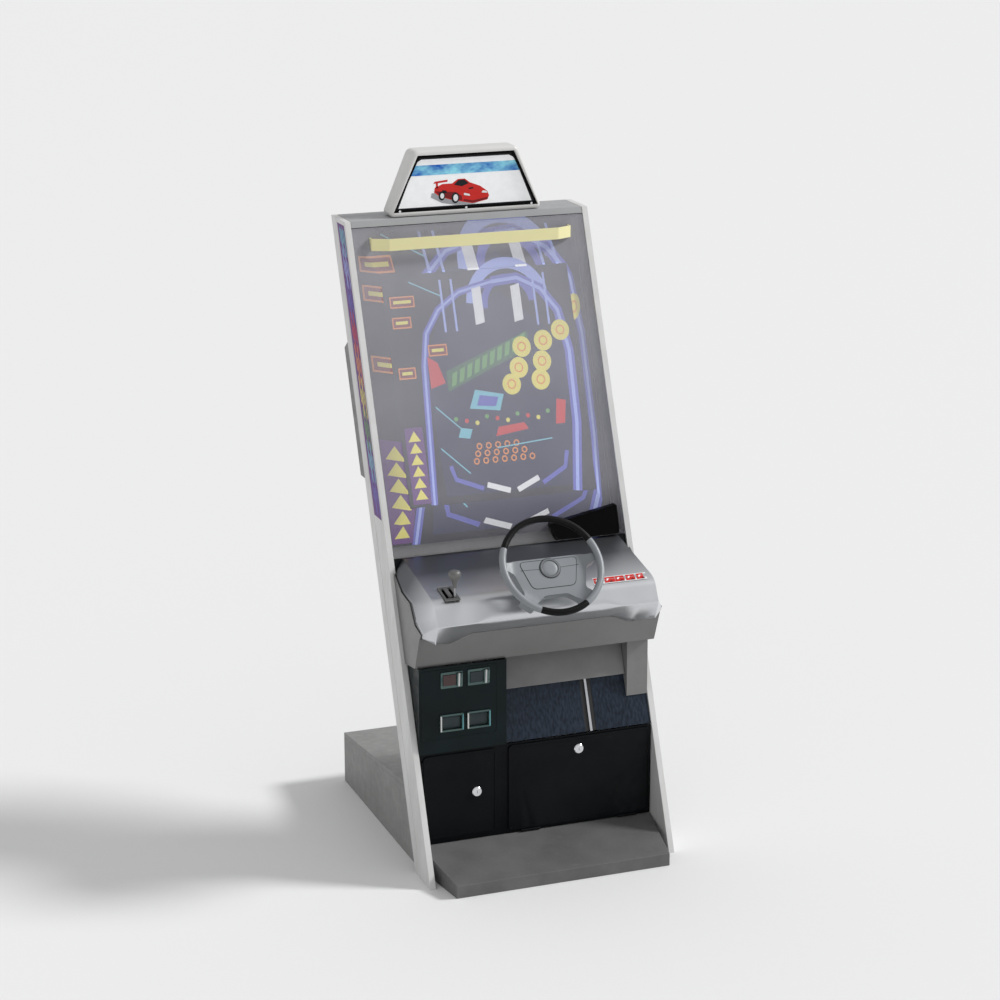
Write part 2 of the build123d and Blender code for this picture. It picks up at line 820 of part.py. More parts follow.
def steering():
    grips = [rim_arc(27, 126), rim_arc(153, 90.5), rim_arc(243.5, 57), rim_arc(300.5, 86.5)]
    keep("wheel_rim", on_column(group(grips)))
    frame = Pos(0, 0, hub_back) * extrude(hub_outline(), amount=-8 - hub_back, dir=(0, 0, 1))
    frame -= block(-116, 116, -80, 40, hub_face, 0)
    frame += Pos(0, 0, hub_back - 20) * Cylinder(30, 44)
    frame -= block(-40, 40, -40, 40, hub_face, 5)
    frame -= Torus(rim_radius, rim_section + 0.02)
    frame -= Pos(0, 0, -70) * Cylinder(shaft_radius, 40)
    keep("wheel_frame", on_column(frame))
    pad_outline = make_face(Polyline((-88, 28), (88, 28), (54, -58), (-54, -58), close=True))
    pad = extrude(pad_outline, amount=9, dir=(0, 0, 1))
    pad = fillet(pad.edges().filter_by(Axis.Z), 12)
    pad = fillet(pad.faces().sort_by(Axis.Z)[-1].edges(), 3)
    pad = Pos(0, 0, hub_face + 0.05) * pad
    ring = Pos(0, 0, hub_face + 11) * (Cylinder(19.5, 5) - Pos(0, 0, 1.5) * Cylinder(15.5, 2.1))
    keep("wheel_pad", on_column(pad + ring))
    shaft_low = -270.0
    shaft_high = -50.2
    shaft = Pos(0, 0, (shaft_low + shaft_high) / 2) * Cylinder(shaft_radius, shaft_high - shaft_low)
    keep("steering_shaft", on_column(shaft))
    gear = Pos(0, 0, gear_low) * extrude(
        gear_outline(gear_teeth, gear_module, 0.15), amount=gear_high - gear_low
    )
    gear -= Pos(0, 0, gear_low) * Cylinder(shaft_radius, 40)
    keep("steering_gear", on_column(gear))
    mesh_turn = 180.0 / pinion_teeth
    pinion = Pos(0, 0, gear_low + 0.5) * extrude(
        Rot(0, 0, 180 + mesh_turn) * gear_outline(pinion_teeth, gear_module, 0.15),
        amount=gear_high - gear_low - 1,
    )
    pinion += Pos(0, 0, gear_low - 12) * Cylinder(3, 26)
    keep("sensor_pinion", on_column(Pos(gear_distance, 0, 0) * pinion))
    sensor = Pos(gear_distance, 0, gear_low - 16) * (Cylinder(12, 18) - Cylinder(3 + running_gap, 30))
    keep("steering_sensor", on_column(sensor))
    bearings = []
    for place in bearing_places:
        race = Cylinder(bearing_outer, 12) - Cylinder(shaft_radius + running_gap, 14)
        bearings.append(Pos(0, 0, place) * race)
    keep("shaft_bearings", on_column(group(bearings)))
    housings = []
    for place in bearing_places:
        wall = Pos(0, 0, place) * (Box(110, 60, 12) - Cylinder(bearing_outer, 14))
        housings.append(wall)
    rail = Pos(-59, 0, sum(bearing_places) / 2) * Box(8, 60, 92)
    bracket = housings[0] + housings[1] + rail + Pos(59, 0, sum(bearing_places) / 2) * Box(8, 60, 92)
    bracket -= Pos(gear_distance, 0, gear_low - 10) * Cylinder(15, 50)
    bracket = on_column(bracket)
    arm_outline = [
        (230, 650),
        (lean * 705 + 3.5, 705),
        (lean * 800 + 3.5, 800),
        (250, 800),
        (215, 765),
    ]
    arm = side_prism(arm_outline, 62.9, 69)
    bracket += arm & behind_console()
    bracket += side_prism(arm_outline, -69, -62.9) & behind_console()
    keep("column_bracket", bracket)


def behind_console():
    """The room under the console shell, in front of its back plate."""
    return console_block(console_wall) & block(-300, 300, 100, 400, 700, 900)


# ---------------------------------------------------------------- gear lever
lever_pivot_z = console_top_at(gate_y) - pivot_drop
knob_height = 66.0


def gear_lever():
    tilt = math.degrees(math.atan(top_slope))
    top = console_top_at(gate_y)
    body = block(gate_left, gate_right, gate_front, gate_back, 0.1, 4)
    body = Pos(0, gate_y, top) * Rot(tilt, 0, 0) * Pos(0, -gate_y, 0) * body
    top_plate = body - gate_slots(700, 900, 0)
    keep("shifter_gate", top_plate)
    x = slot_right_x
    y = slot_near_y
    base = lever_pivot_z
    lever_top = console_top_at(y) + knob_height
    shaft = rod_z(x, y, base + 4, lever_top - 8, lever_radius)
    boss = rod_x(x - 7, x + 7, y, base, 7)
    lever = shaft + boss - rod_x(x - 10, x + 10, y, base, 3 + running_gap)
    keep("shifter_lever", lever)
    profile = Plane.XZ * make_face(
        Polyline((0, -34), (4.6, -34), (5.4, -22), (8, -12), (0, -12), close=True)
    )
    neck = revolve(profile, Axis.Z)
    knob = Pos(x, y, lever_top) * (scale(Sphere(17), (1.05, 1.05, 0.95)) + neck)
    knob -= rod_z(x, y, base, lever_top - 8, lever_radius)
    keep("shifter_knob", knob)
    cradle = block(x - 14, x + 14, y - 12, y + 12, base - 12, base - 8)
    for side in (-1, 1):
        ear = block(x + side * 11 - 3, x + side * 11 + 3, y - 7, y + 7, base - 9, base + 6)
        cradle += ear
    cradle += rod_y(x, y - 22, y - 11.9, base - 10, 2.5) + rod_y(x, y + 11.9, y + 22, base - 10, 2.5)
    pin = rod_x(x - 14, x + 14, y, base, 3)
    keep("shifter_cradle", cradle + pin)
    carrier = block(x - 30, x + 30, y - 24, y + 24, base - 30, base - 27)
    for side in (-1, 1):
        carrier += block(x - 9, x + 9, y + side * 18 - 3, y + side * 18 + 3, base - 28, base - 4)
        carrier -= rod_y(x, y + side * 18 - 5, y + side * 18 + 5, base - 10, 2.5 + running_gap)
    carrier += block(x - 30, x - 24, y + 20, 285, base - 30, base - 6)
    carrier -= behind_lean(3.8)
    keep("shifter_bracket", carrier)


# ---------------------------------------------------------------- screen window
def window():
    keep("front_glass", slab(-fit_half, fit_half, glass_low, glass_high, 2, 8))
    screen_half = 290.0
    screen_low = 1012.0
    screen_high = 1642.0
    keep("screen_panel", slab(-screen_half, screen_half, screen_low, screen_high, 9, 14))
    keep(
        "screen_chassis",
        slab(-screen_half + 12, screen_half - 12, screen_low + 14, screen_high - 14, 14.2, 95),
    )

    def frustum(step):
        sections = []
        for half, low, high, offset in (
            (358.0, 890.0, 1776.0, 84.0 + step),
            (screen_half + 2, screen_low - 2, screen_high + 2, 9.0 + step),
        ):
            corners = [(-half, low), (half, low), (half, high), (-half, high)]
            points = [(x, lean * z + offset, z) for x, z in corners]
            sections.append(make_face(Polyline(*points, close=True)))
        return loft(sections, ruled=True)

    bezel = frustum(0) - frustum(3.2)
    bezel -= slab(-screen_half - 0.6, screen_half + 0.6, screen_low - 0.6, screen_high + 0.6, 0, 100)
    keep("art_bezel", bezel)


def window_strip():
    """The bent yellow strip that stands off the glass, open above and below."""
    low = 1718.0
    high = 1753.0
    deep = 35.0
    end_deep = 12.7
    front_half = 264.0
    end_half = 311.0
    wall = 2.5
    bend = 16.0

    def form(inset, back):
        y = lean * (low + high) / 2
        front_x = front_half - 0.23 * inset
        end_x = end_half - inset
        end_y = y - end_deep + 0.63 * inset
        points = [
            (-end_x, y + back),
            (-end_x, end_y),
            (-front_x, y - deep + inset),
            (front_x, y - deep + inset),
            (end_x, end_y),
            (end_x, y + back),
        ]
        solid = plan_prism(points, low - inset, high + inset)
        return fillet(solid.edges().filter_by(Axis.Z).group_by(Axis.Y)[0], bend - inset)

    front_face = side_prism(
        [
            (lean * 1600 + 1.8, 1600),
            (lean * 1600 - 300, 1600),
            (lean * 1850 - 300, 1850),
            (lean * 1850 + 1.8, 1850),
        ],
        -400,
        400,
    )
    keep("window_strip", (form(0, 20) - form(wall, 30)) & front_face)


def display():
    """The small instrument pod that leans on the glass behind the wheel's right side."""
    outline = [(132, 889), (337, 889), (340, 970), (120, 934)]

    def lens_form(grow, front, back):
        middle_x = sum(x for x, z in outline) / 4
        middle_z = sum(z for x, z in outline) / 4
        points = []
        for x, z in outline:
            far_x = x + grow * (1 if x > middle_x else -1)
            far_z = z + grow * (1 if z > middle_z else -1)
            points.append((far_x, far_z))
        raw = front_prism(points, -100, 900)
        raw = fillet(raw.edges().filter_by(Axis.Y), 6)
        return raw & slab(0, 400, 860, 1000, front, back)

    pod = lens_form(0, -16, 1.8)
    keep("display_pod", pod - lens_form(-5, -20, -14.5))


# ---------------------------------------------------------------- roof sign
def sign():
    height_top = roof_height + sign_height

    def trapezoid(inset, front, back):
        bottom = sign_bottom_half - inset * 1.1
        top = sign_top_half - inset * 0.8
        points = [
            (-bottom, roof_height + inset),
            (bottom, roof_height + inset),
            (top, height_top - inset),
            (-top, height_top - inset),
        ]
        return front_prism(points, front, back)

    body = trapezoid(0, sign_front, sign_back)
    body = fillet(body.edges().filter_by(Axis.Y).sort_by(Axis.Z)[-2:], 22)
    body = fillet(body.edges().filter_by(Axis.Y).sort_by(Axis.Z)[:2], 14)
    body = fillet(body.faces().sort_by(Axis.Y)[0].edges(), 12)
    body = body - trapezoid(14, sign_front - 1, sign_front + 12)
    body = body - trapezoid(17, sign_front + 11, sign_back - 3)
    keep("sign_shell", body)
    panel = trapezoid(14.4, sign_front + 9, sign_front + 11.8)
    keep("sign_panel", panel)
    frame = trapezoid(14.4, sign_front + 4, sign_front + 8.8)
    frame -= trapezoid(22, sign_front + 3, sign_front + 10)
    keep("sign_frame", frame)
    tube = rod_x(-180, 180, sign_front + 38, roof_height + 60, 8)
    holders = [tube]
    for side in (-1, 1):
        x0, x1 = sorted((side * 180.2, side * 190))
        low = roof_height + 17.2
        holders.append(block(x0, x1, sign_front + 28, sign_front + 48, low, roof_height + 68))
    keep("sign_lamp", group(holders))


def build():
    keep("side_boards", both_sides(side_board()))
    keep("side_art_sheets", both_sides(side_art()))
    slab_panels()
    rear_cover()
    electronics()
    base()
    foot_ramp()
    door_frame()
    cash_door()
    service_door()
    cash_box()
    coin_section()
    hinge_pins()
    lower_front()
    console()
    steering()
    gear_lever()
    window()
    display()
    window_strip()
    sign()
    cover_screws()


build()
os.makedirs("parts", exist_ok=True)
for name, shape in parts.items():
    export_step(Pos(0, -centre_y, 0) * shape, "parts/" + name + ".step")
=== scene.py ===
"""The looks of the stand-up racing cabinet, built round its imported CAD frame."""

import json
import math

import bmesh
import bpy
from mathutils import Matrix, Vector

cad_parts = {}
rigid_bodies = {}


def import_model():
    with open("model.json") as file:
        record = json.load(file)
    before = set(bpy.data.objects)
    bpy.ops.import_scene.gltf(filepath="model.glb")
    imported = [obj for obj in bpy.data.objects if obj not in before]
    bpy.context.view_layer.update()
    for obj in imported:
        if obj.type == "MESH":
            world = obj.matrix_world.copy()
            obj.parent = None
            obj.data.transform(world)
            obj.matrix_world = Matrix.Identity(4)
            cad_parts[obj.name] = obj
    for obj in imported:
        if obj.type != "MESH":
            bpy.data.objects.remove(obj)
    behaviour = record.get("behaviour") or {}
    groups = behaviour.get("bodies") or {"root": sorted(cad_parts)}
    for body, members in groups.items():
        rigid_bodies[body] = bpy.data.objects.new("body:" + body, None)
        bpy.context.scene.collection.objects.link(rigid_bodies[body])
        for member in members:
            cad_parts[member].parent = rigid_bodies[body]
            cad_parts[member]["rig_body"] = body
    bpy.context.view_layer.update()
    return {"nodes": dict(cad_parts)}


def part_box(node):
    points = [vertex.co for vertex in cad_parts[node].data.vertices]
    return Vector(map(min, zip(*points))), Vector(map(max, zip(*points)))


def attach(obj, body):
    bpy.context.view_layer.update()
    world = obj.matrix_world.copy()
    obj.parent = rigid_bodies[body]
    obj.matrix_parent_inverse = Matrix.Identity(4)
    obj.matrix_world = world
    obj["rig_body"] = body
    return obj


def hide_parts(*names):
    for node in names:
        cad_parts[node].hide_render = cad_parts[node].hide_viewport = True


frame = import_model()
scene = bpy.context.scene

# The side boards lean back from the floor. Sizes here are in millimetres from
# the tips of their feet: x to the right, y to the back, z up.
LEAN = math.tan(math.radians(21.7))
FOOT_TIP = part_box("side_boards")[0].y


def at(x, y, z):
    """A point in metres, in the frame, from millimetres at the cabinet's foot."""
    return Vector((x / 1000, FOOT_TIP + y / 1000, z / 1000))


def on_lean(x, z, offset):
    """A point that far behind the leaning front plane, measured level."""
    return at(x, LEAN * z + offset, z)


# ---------------------------------------------------------------- materials
def socket_colour(colour):
    return (*colour, 1.0)


def linked(tree, kind, **inputs):
    """A new node, with each named input set to a number or linked to a socket."""
    node = tree.nodes.new(kind)
    for name, value in inputs.items():
        target = node.inputs[name.replace("_", " ")]
        if isinstance(value, bpy.types.NodeSocket):
            tree.links.new(value, target)
        else:
            target.default_value = value
    return node


def placed(tree, stretch):
    """Object coordinates, stretched along some axes for streaks."""
    where = tree.nodes.new("ShaderNodeTexCoord")
    mapping = linked(tree, "ShaderNodeMapping", Vector=where.outputs["Object"], Scale=stretch)
    return mapping.outputs["Vector"]


def noise(tree, vector, scale, detail=4.0):
    node = linked(tree, "ShaderNodeTexNoise", Vector=vector, Scale=scale, Detail=detail)
    return node.outputs["Fac"]


def spread(tree, value, low, high, start=0.35, end=0.65):
    """A noise value carried to the range from low to high."""
    node = linked(tree, "ShaderNodeMapRange", Value=value)
    node.inputs["From Min"].default_value = start
    node.inputs["From Max"].default_value = end
    node.inputs["To Min"].default_value = low
    node.inputs["To Max"].default_value = high
    return node.outputs["Result"]


def mixed(tree, factor, first, second):
    """One colour blended into another by a factor."""
    node = tree.nodes.new("ShaderNodeMix")
    node.data_type = "RGBA"
    for place, value in ((0, factor), (6, first), (7, second)):
        if isinstance(value, bpy.types.NodeSocket):
            tree.links.new(value, node.inputs[place])
        else:
            node.inputs[place].default_value = value
    return node.outputs[2]


def finish(
    name, colour, second=None, rough=0.45, uneven=0.08, grain=700.0, relief=0.05,
    stretch=(1, 1, 1), cloud=9.0, metal=0.0, coat=0.0, worn=0.0, shine=0.5, glow=0.0,
):
    """A surface with clouded colour, uneven gloss, fine relief and light wear."""
    material = bpy.data.materials.new(name)
    material.use_nodes = True
    tree = material.node_tree
    surface = tree.nodes["Principled BSDF"]
    second = second or tuple(0.86 * part for part in colour)
    vector = placed(tree, stretch)
    clouds = spread(tree, noise(tree, vector, cloud), 0, 1)
    fine = noise(tree, vector, grain, 3)
    tint = mixed(tree, clouds, socket_colour(colour), socket_colour(second))
    if worn:
        marks = noise(tree, placed(tree, (1, 1, 14)), 40, 6)
        amount = spread(tree, marks, 0, worn, 0.66, 0.74)
        pale = tuple(min(1, part * 1.6 + 0.04) for part in colour)
        tint = mixed(tree, amount, tint, socket_colour(pale))
    tree.links.new(tint, surface.inputs["Base Color"])
    gloss = spread(tree, noise(tree, vector, cloud * 4, 5), rough - uneven, rough + uneven)
    tree.links.new(gloss, surface.inputs["Roughness"])
    bump = linked(tree, "ShaderNodeBump", Height=fine, Strength=relief, Distance=0.001)
    tree.links.new(bump.outputs["Normal"], surface.inputs["Normal"])
    surface.inputs["Metallic"].default_value = metal
    surface.inputs["Coat Weight"].default_value = coat
    surface.inputs["Coat Roughness"].default_value = 0.12
    surface.inputs["Specular IOR Level"].default_value = shine
    if glow:
        surface.inputs["Emission Color"].default_value = socket_colour(colour)
        surface.inputs["Emission Strength"].default_value = glow
    return material


def brushed_blue():
    """Dark blue foot-well sheet with upright brushing of uneven lightness."""
    return finish(
        "brushed_blue", (0.004, 0.009, 0.018), (0.018, 0.029, 0.048), rough=0.45,
        grain=260, relief=0.2, stretch=(1, 1, 0.03), cloud=150, metal=0.2, shine=0.3,
    )


def haze_glass():
    """Tinted front glass, milkier towards its top as a painted reflection, and clearest low down as painted
    shade.
    """
    material = finish(
        "haze_glass", (0.6, 0.6, 0.65), rough=0.2, uneven=0.04, relief=0.005, cloud=3, shine=0.12,
    )
    tree = material.node_tree
    split = linked(tree, "ShaderNodeSeparateXYZ", Vector=placed(tree, (1, 1, 1)))
    low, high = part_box("front_glass")
    # Painted reflection: the grey veil thickens towards the top of the glass.
    painted_reflection_veil = spread(tree, split.outputs["Z"], 0.0, 0.17, low.z + 0.1, high.z)
    # Painted shade: the veil thins at the glass's foot, and faint uneven dust is added over it.
    foot = spread(tree, split.outputs["Z"], 0.07, 0.2, low.z, low.z + 0.14)
    painted_foot_shade_and_dust = linked(tree, "ShaderNodeMath", Value=foot)
    tree.links.new(spread(tree, noise(tree, placed(tree, (1, 1, 1)), 5, 5), -0.015, 0.015), painted_foot_shade_and_dust.inputs[1])
    total = linked(tree, "ShaderNodeMath")
    tree.links.new(painted_reflection_veil, total.inputs[0])
    tree.links.new(painted_foot_shade_and_dust.outputs["Value"], total.inputs[1])
    surface = tree.nodes["Principled BSDF"]
    surface.inputs["IOR"].default_value = 1.07
    tree.links.new(total.outputs["Value"], surface.inputs["Alpha"])
    return material


def console_metal_with_painted_reflection():
    """Metallic grey paint, darkened towards the glass by a painted reflection and paler along the front."""
    material = finish(
        "console_grey", (0.66, 0.675, 0.695), (0.64, 0.655, 0.675), rough=0.3, uneven=0.02, grain=1500,
        relief=0.004, cloud=5, metal=0.8,
    )
    tree = material.node_tree
    surface = tree.nodes["Principled BSDF"]
    # Painted reflection: the paint darkens towards the back, where the top mirrors the dark glass.
    split = linked(tree, "ShaderNodeSeparateXYZ", Vector=placed(tree, (1, 1, 1)))
    front, back = at(0, 75, 0).y, at(0, 250, 0).y
    share = spread(tree, split.outputs["Y"], 0, 1, front, back)
    paint = surface.inputs["Base Color"].links[0].from_socket
    tree.links.new(mixed(tree, share, paint, (0.14, 0.146, 0.157, 1)), surface.inputs["Base Color"])
    return material


def ink(name, colour, glow=0.0):
    """Printed colour: a faint halftone and satin film over it."""
    second = tuple(0.95 * part for part in colour)
    return finish(
        "ink_" + name, colour, second, rough=0.38, grain=1500, relief=0.01, cloud=60, shine=0.2, glow=glow,
    )


def watery_sky():
    """Printed sky that runs from deep to pale blue in soft blots."""
    return finish(
        "ink_sky", (0.005, 0.1, 0.5), (0.3, 0.74, 0.9), rough=0.35, relief=0.01,
        stretch=(1, 1, 1.6), cloud=22, shine=0.2,
    )


INKS = {
    "ground": (0.006, 0.006, 0.011),
    "field": (0.012, 0.014, 0.06),
    "violet": (0.12, 0.13, 0.52),
    "pale_blue": (0.38, 0.46, 0.86),
    "white": (0.82, 0.83, 0.84),
    "yellow": (0.8, 0.72, 0.14),
    "green": (0.13, 0.36, 0.09),
    "dark_green": (0.03, 0.13, 0.05),
    "red": (0.62, 0.025, 0.02),
    "dark_red": (0.2, 0.012, 0.014),
    "orange": (0.78, 0.28, 0.05),
    "aqua": (0.2, 0.55, 0.66),
    "purple": (0.115, 0.02, 0.19),
    "grey": (0.36, 0.37, 0.39),
    "dark": (0.012, 0.013, 0.016),
    "paper": (0.84, 0.85, 0.86),
}
inks = {name: ink(name, colour) for name, colour in INKS.items()}
inks["sky"] = watery_sky()
# Paper ink glows: the lit sign's own light on its panel, and painted light on the console stripe's gaps.
inks["paper"] = ink("paper_lit", INKS["paper"], 0.16)
# Glowing inks: the screen's own light, and painted light where the border uses them.
lit_inks = {name: ink("lit_" + name, colour, 0.4) for name, colour in INKS.items()}

white_board = finish(
    "white_board", (0.66, 0.66, 0.655), (0.6, 0.6, 0.59), rough=0.42, grain=420, relief=0.04,
    stretch=(1, 1, 0.12), cloud=30, worn=0.12,
)
base_grey = finish(
    "base_grey", (0.25, 0.25, 0.245), (0.22, 0.22, 0.215), rough=0.55, grain=900, relief=0.09, worn=0.15,
)
steel_grey = finish("steel_grey", (0.2, 0.2, 0.198), rough=0.5, grain=1100, relief=0.08, worn=0.1)
roof_grey = finish("roof_grey", (0.36, 0.365, 0.37), (0.34, 0.345, 0.35), rough=0.5, grain=1100, relief=0.05)
ramp_grey = finish(
    "ramp_grey", (0.13, 0.13, 0.13), (0.1, 0.1, 0.1), rough=0.62, grain=800, relief=0.16, worn=0.3,
)
black_steel = finish(
    "black_steel", (0.0015, 0.0022, 0.003), (0.003, 0.004, 0.005), rough=0.45, grain=1300, relief=0.2,
    shine=0.12,
)
coin_green = finish(
    "coin_green", (0.002, 0.006, 0.007), (0.004, 0.011, 0.012), rough=0.4, grain=1200, relief=0.12,
    shine=0.15,
)
bezel_steel = finish(
    "bezel_steel", (0.05, 0.09, 0.088), (0.1, 0.15, 0.14), rough=0.35, stretch=(0.05, 1, 1),
    grain=1400, relief=0.15, cloud=80, metal=0.7,
)
bar_steel = finish("bar_steel", (0.62, 0.63, 0.62), rough=0.35, grain=900, relief=0.06, metal=0.3)
teal_plate = finish("teal_plate", (0.05, 0.2, 0.22), (0.1, 0.3, 0.33), rough=0.35, relief=0.08, coat=0.3)
flap_dark = finish("flap_dark", (0.005, 0.02, 0.022), rough=0.4, relief=0.1)
button_red = finish("button_red", (0.05, 0.006, 0.007), (0.025, 0.005, 0.006), rough=0.35, coat=0.3)
console_grey = console_metal_with_painted_reflection()
skirt_grey = finish(
    "skirt_grey", (0.2, 0.2, 0.198), (0.185, 0.185, 0.182), rough=0.4, uneven=0.02, grain=1200,
    relief=0.01, metal=0.5,
)
wheel_grey = finish(
    "wheel_grey", (0.235, 0.25, 0.265), (0.215, 0.23, 0.245), rough=0.4, grain=1600, relief=0.06,
)
wheel_black = finish(
    "wheel_black", (0.0015, 0.0015, 0.0017), (0.003, 0.003, 0.0035), rough=0.38, uneven=0.06, grain=520,
    relief=0.3, shine=0.16,
)
ring_grey = finish("ring_grey", (0.15, 0.16, 0.17), rough=0.42, grain=1600, relief=0.08)
seam_black = finish("seam_black", (0.03, 0.032, 0.035), rough=0.6, shine=0.2)
shaft_steel = finish(
    "shaft_steel", (0.4, 0.41, 0.42), rough=0.3, grain=900, relief=0.08, stretch=(1, 0.1, 0.1), metal=1.0,
)
gate_steel = finish(
    "gate_steel", (0.12, 0.12, 0.118), (0.17, 0.17, 0.165), rough=0.42, relief=0.1, metal=0.4,
)
chrome = finish(
    "chrome", (0.72, 0.73, 0.75), (0.6, 0.61, 0.63), rough=0.16, uneven=0.06, grain=600, relief=0.04,
    metal=1.0,
)
brass = finish("brass", (0.55, 0.38, 0.14), (0.42, 0.28, 0.1), rough=0.32, relief=0.06, metal=1.0)
black_plastic = finish("black_plastic", (0.012, 0.012, 0.013), rough=0.45, grain=1500, relief=0.15)
black_gloss = finish(
    "black_gloss", (0.0008, 0.0008, 0.001), rough=0.3, uneven=0.03, relief=0.004, shine=0.07,
)
circuit = finish(
    "circuit", (0.01, 0.07, 0.025), (0.03, 0.12, 0.05), rough=0.4, grain=300, cloud=120, relief=0.1,
)
sign_white = finish(
    "sign_white", (0.66, 0.655, 0.64), (0.64, 0.635, 0.62), rough=0.4, grain=1300, relief=0.03,
)
lamp_yellow = finish(
    "lamp_yellow", (0.84, 0.79, 0.44), (0.82, 0.77, 0.425), rough=0.4, relief=0.02, cloud=14, shine=0.3,
)
lamp_glass = finish("lamp_glass", (0.85, 0.86, 0.84), rough=0.2, relief=0.01, coat=0.5)
glass = haze_glass()
blue_sheet = brushed_blue()


def new_piece(name, data, materials, body):
    """An object in the scene that moves with one CAD body."""
    piece = bpy.data.objects.new(name, data)
    scene.collection.objects.link(piece)
    for material in materials:
        piece.data.materials.append(material)
    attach(piece, body)
    return piece


def smooth(mesh, angle):
    """Smooth shading that keeps edges sharper than the angle, in degrees."""
    mesh.polygons.foreach_set("use_smooth", [True] * len(mesh.polygons))
    mesh.set_sharp_from_angle(angle=math.radians(angle))


def from_bmesh(name, shape, angle=40):
    data = bpy.data.meshes.new(name)
    bmesh.ops.recalc_face_normals(shape, faces=shape.faces)
    shape.to_mesh(data)
    shape.free()
    smooth(data, angle)
    return data


def softened(node, material, width):
    """A CAD node with clean faces and small rounded edges; it stands for that node."""
    source = frame["nodes"][node]
    shape = bmesh.new()
    shape.from_mesh(source.data)
    bmesh.ops.remove_doubles(shape, verts=shape.verts, dist=1e-5)
    flat = math.radians(0.5)
    bmesh.ops.dissolve_limit(shape, angle_limit=flat, verts=shape.verts, edges=shape.edges)
    piece = new_piece(node + "_skin", from_bmesh(node, shape), [material], source["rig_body"])
    if width:
        bevel = piece.modifiers.new("edges", "BEVEL")
        bevel.width = width / 1000
        bevel.segments = 2
        bevel.limit_method = "ANGLE"
        bevel.angle_limit = math.radians(32)
        bevel.harden_normals = True
    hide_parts(node)
    return piece


def painted(node, material):
    """A CAD node that stays as it is and only gets its finish."""
    slots = frame["nodes"][node].data.materials
    slots.clear()
    slots.append(material)


def paint_all():
    """Every CAD node's finish, with the width of its softened edges in millimetres."""
    for node, material, width in (
        ("side_boards", white_board, 1.2),
        ("roof_panel", roof_grey, 0.8),
        ("back_panel", white_board, 0.8),
        ("rear_cover", steel_grey, 0.6),
        ("base_walls", base_grey, 0.8),
        ("base_top_panel", base_grey, 0.8),
        ("foot_ramp", ramp_grey, 1.5),
        ("cash_door", black_steel, 0.6),
        ("service_door", black_steel, 0.6),
        ("coin_panel", coin_green, 0.5),
        ("under_console_boxes", steel_grey, 1.0),
        ("console_skirt", skirt_grey, 0.8),
        ("sign_shell", sign_white, 0.0),
        ("sign_frame", black_gloss, 0.6),
        ("window_strip", lamp_yellow, 0.3),
        ("display_pod", black_gloss, 0.8),
        ("shifter_gate", gate_steel, 0.6),
        ("foot_well_panel", blue_sheet, 0.3),
    ):
        softened(node, material, width)
    for node, material in (
        ("side_art_sheets", inks["purple"]),
        ("inner_battens", black_plastic),
        ("cover_screws", chrome),
        ("power_inlet", black_plastic),
        ("power_rocker", black_plastic),
        ("game_electronics", circuit),
        ("lower_floor", base_grey),
        ("levelling_feet", shaft_steel),
        ("door_frame", black_steel),
        ("hinge_pins", shaft_steel),
        ("cash_lock_body", chrome),
        ("cash_lock_plug", chrome),
        ("service_lock_body", chrome),
        ("service_lock_plug", chrome),
        ("cash_box", steel_grey),
        ("coin_bezels", bezel_steel),
        ("reject_button_left", button_red),
        ("reject_button_right", flap_dark),
        ("return_flap_left", flap_dark),
        ("return_flap_right", flap_dark),
        ("coin_mechs", steel_grey),
        ("console_back_plate", black_steel),
        ("steering_shaft", shaft_steel),
        ("steering_gear", brass),
        ("sensor_pinion", brass),
        ("steering_sensor", black_plastic),
        ("shaft_bearings", shaft_steel),
        ("column_bracket", steel_grey),
        ("shifter_cradle", gate_steel),
        ("shifter_bracket", gate_steel),
        ("front_glass", glass),
        ("screen_panel", inks["ground"]),
        ("screen_chassis", black_plastic),
        ("art_bezel", inks["ground"]),
        ("sign_lamp", lamp_glass),
        ("sign_panel", inks["paper"]),
    ):
        painted(node, material)


# ---------------------------------------------------------------- console
def mix(first, second, share):
    return tuple(a + (b - a) * share for a, b in zip(first, second))


def ease(share):
    share = max(0.0, min(1.0, share))
    return share * share * (3 - 2 * share)


CROWN = [(380, 888), (266, 866.2), (97, 834), (73, 822), (44, 768)]
CHEEK = [(380, 860), (266, 811), (196, 801), (150, 749), (93, 736), (96, 724)]
MIDDLE_LIP = (107, 718)
LOBE_LIP = (116, 692)
CORNER_LIP = (66, 712)


def console_corners(x):
    """The console's side outline at x: its corners, and how widely each is rounded."""
    x = abs(x)
    if x <= 283:
        lip = mix(MIDDLE_LIP, LOBE_LIP, ease((x - 206) / 77))
    else:
        lip = mix(LOBE_LIP, CORNER_LIP, min(1.0, (x - 283) / 52))
    nose_round = 26 - 23 * ease((x - 170) / 60)
    corners = CROWN + [lip]
    rounds = [0, 10, 16, 16, nose_round, 0]
    if x > 335:
        share = (x - 335) / 31
        corners = [mix(a, b, share) for a, b in zip(corners, CHEEK)]
        rounds = [0, 10, 16, 14, 5, 0]
    return corners, rounds


def rounded_line(corners, rounds, steps=6, straight=5):
    """Points along a line of corners, each corner turned into a short curve."""
    points = [corners[0]]
    for before, corner, after, radius in zip(corners, corners[1:], corners[2:], rounds[1:]):
        reach = min(radius, math.dist(before, corner) * 0.45, math.dist(corner, after) * 0.45)
        start = mix(corner, before, reach / math.dist(before, corner))
        end = mix(corner, after, reach / math.dist(corner, after))
        last = points[-1]
        points += [mix(last, start, step / straight) for step in range(1, straight)]
        for step in range(steps + 1):
            share = step / steps
            points.append(mix(mix(start, corner, share), mix(corner, end, share), share))
    last = points[-1]
    points += [mix(last, corners[-1], step / straight) for step in range(1, straight + 1)]
    return points


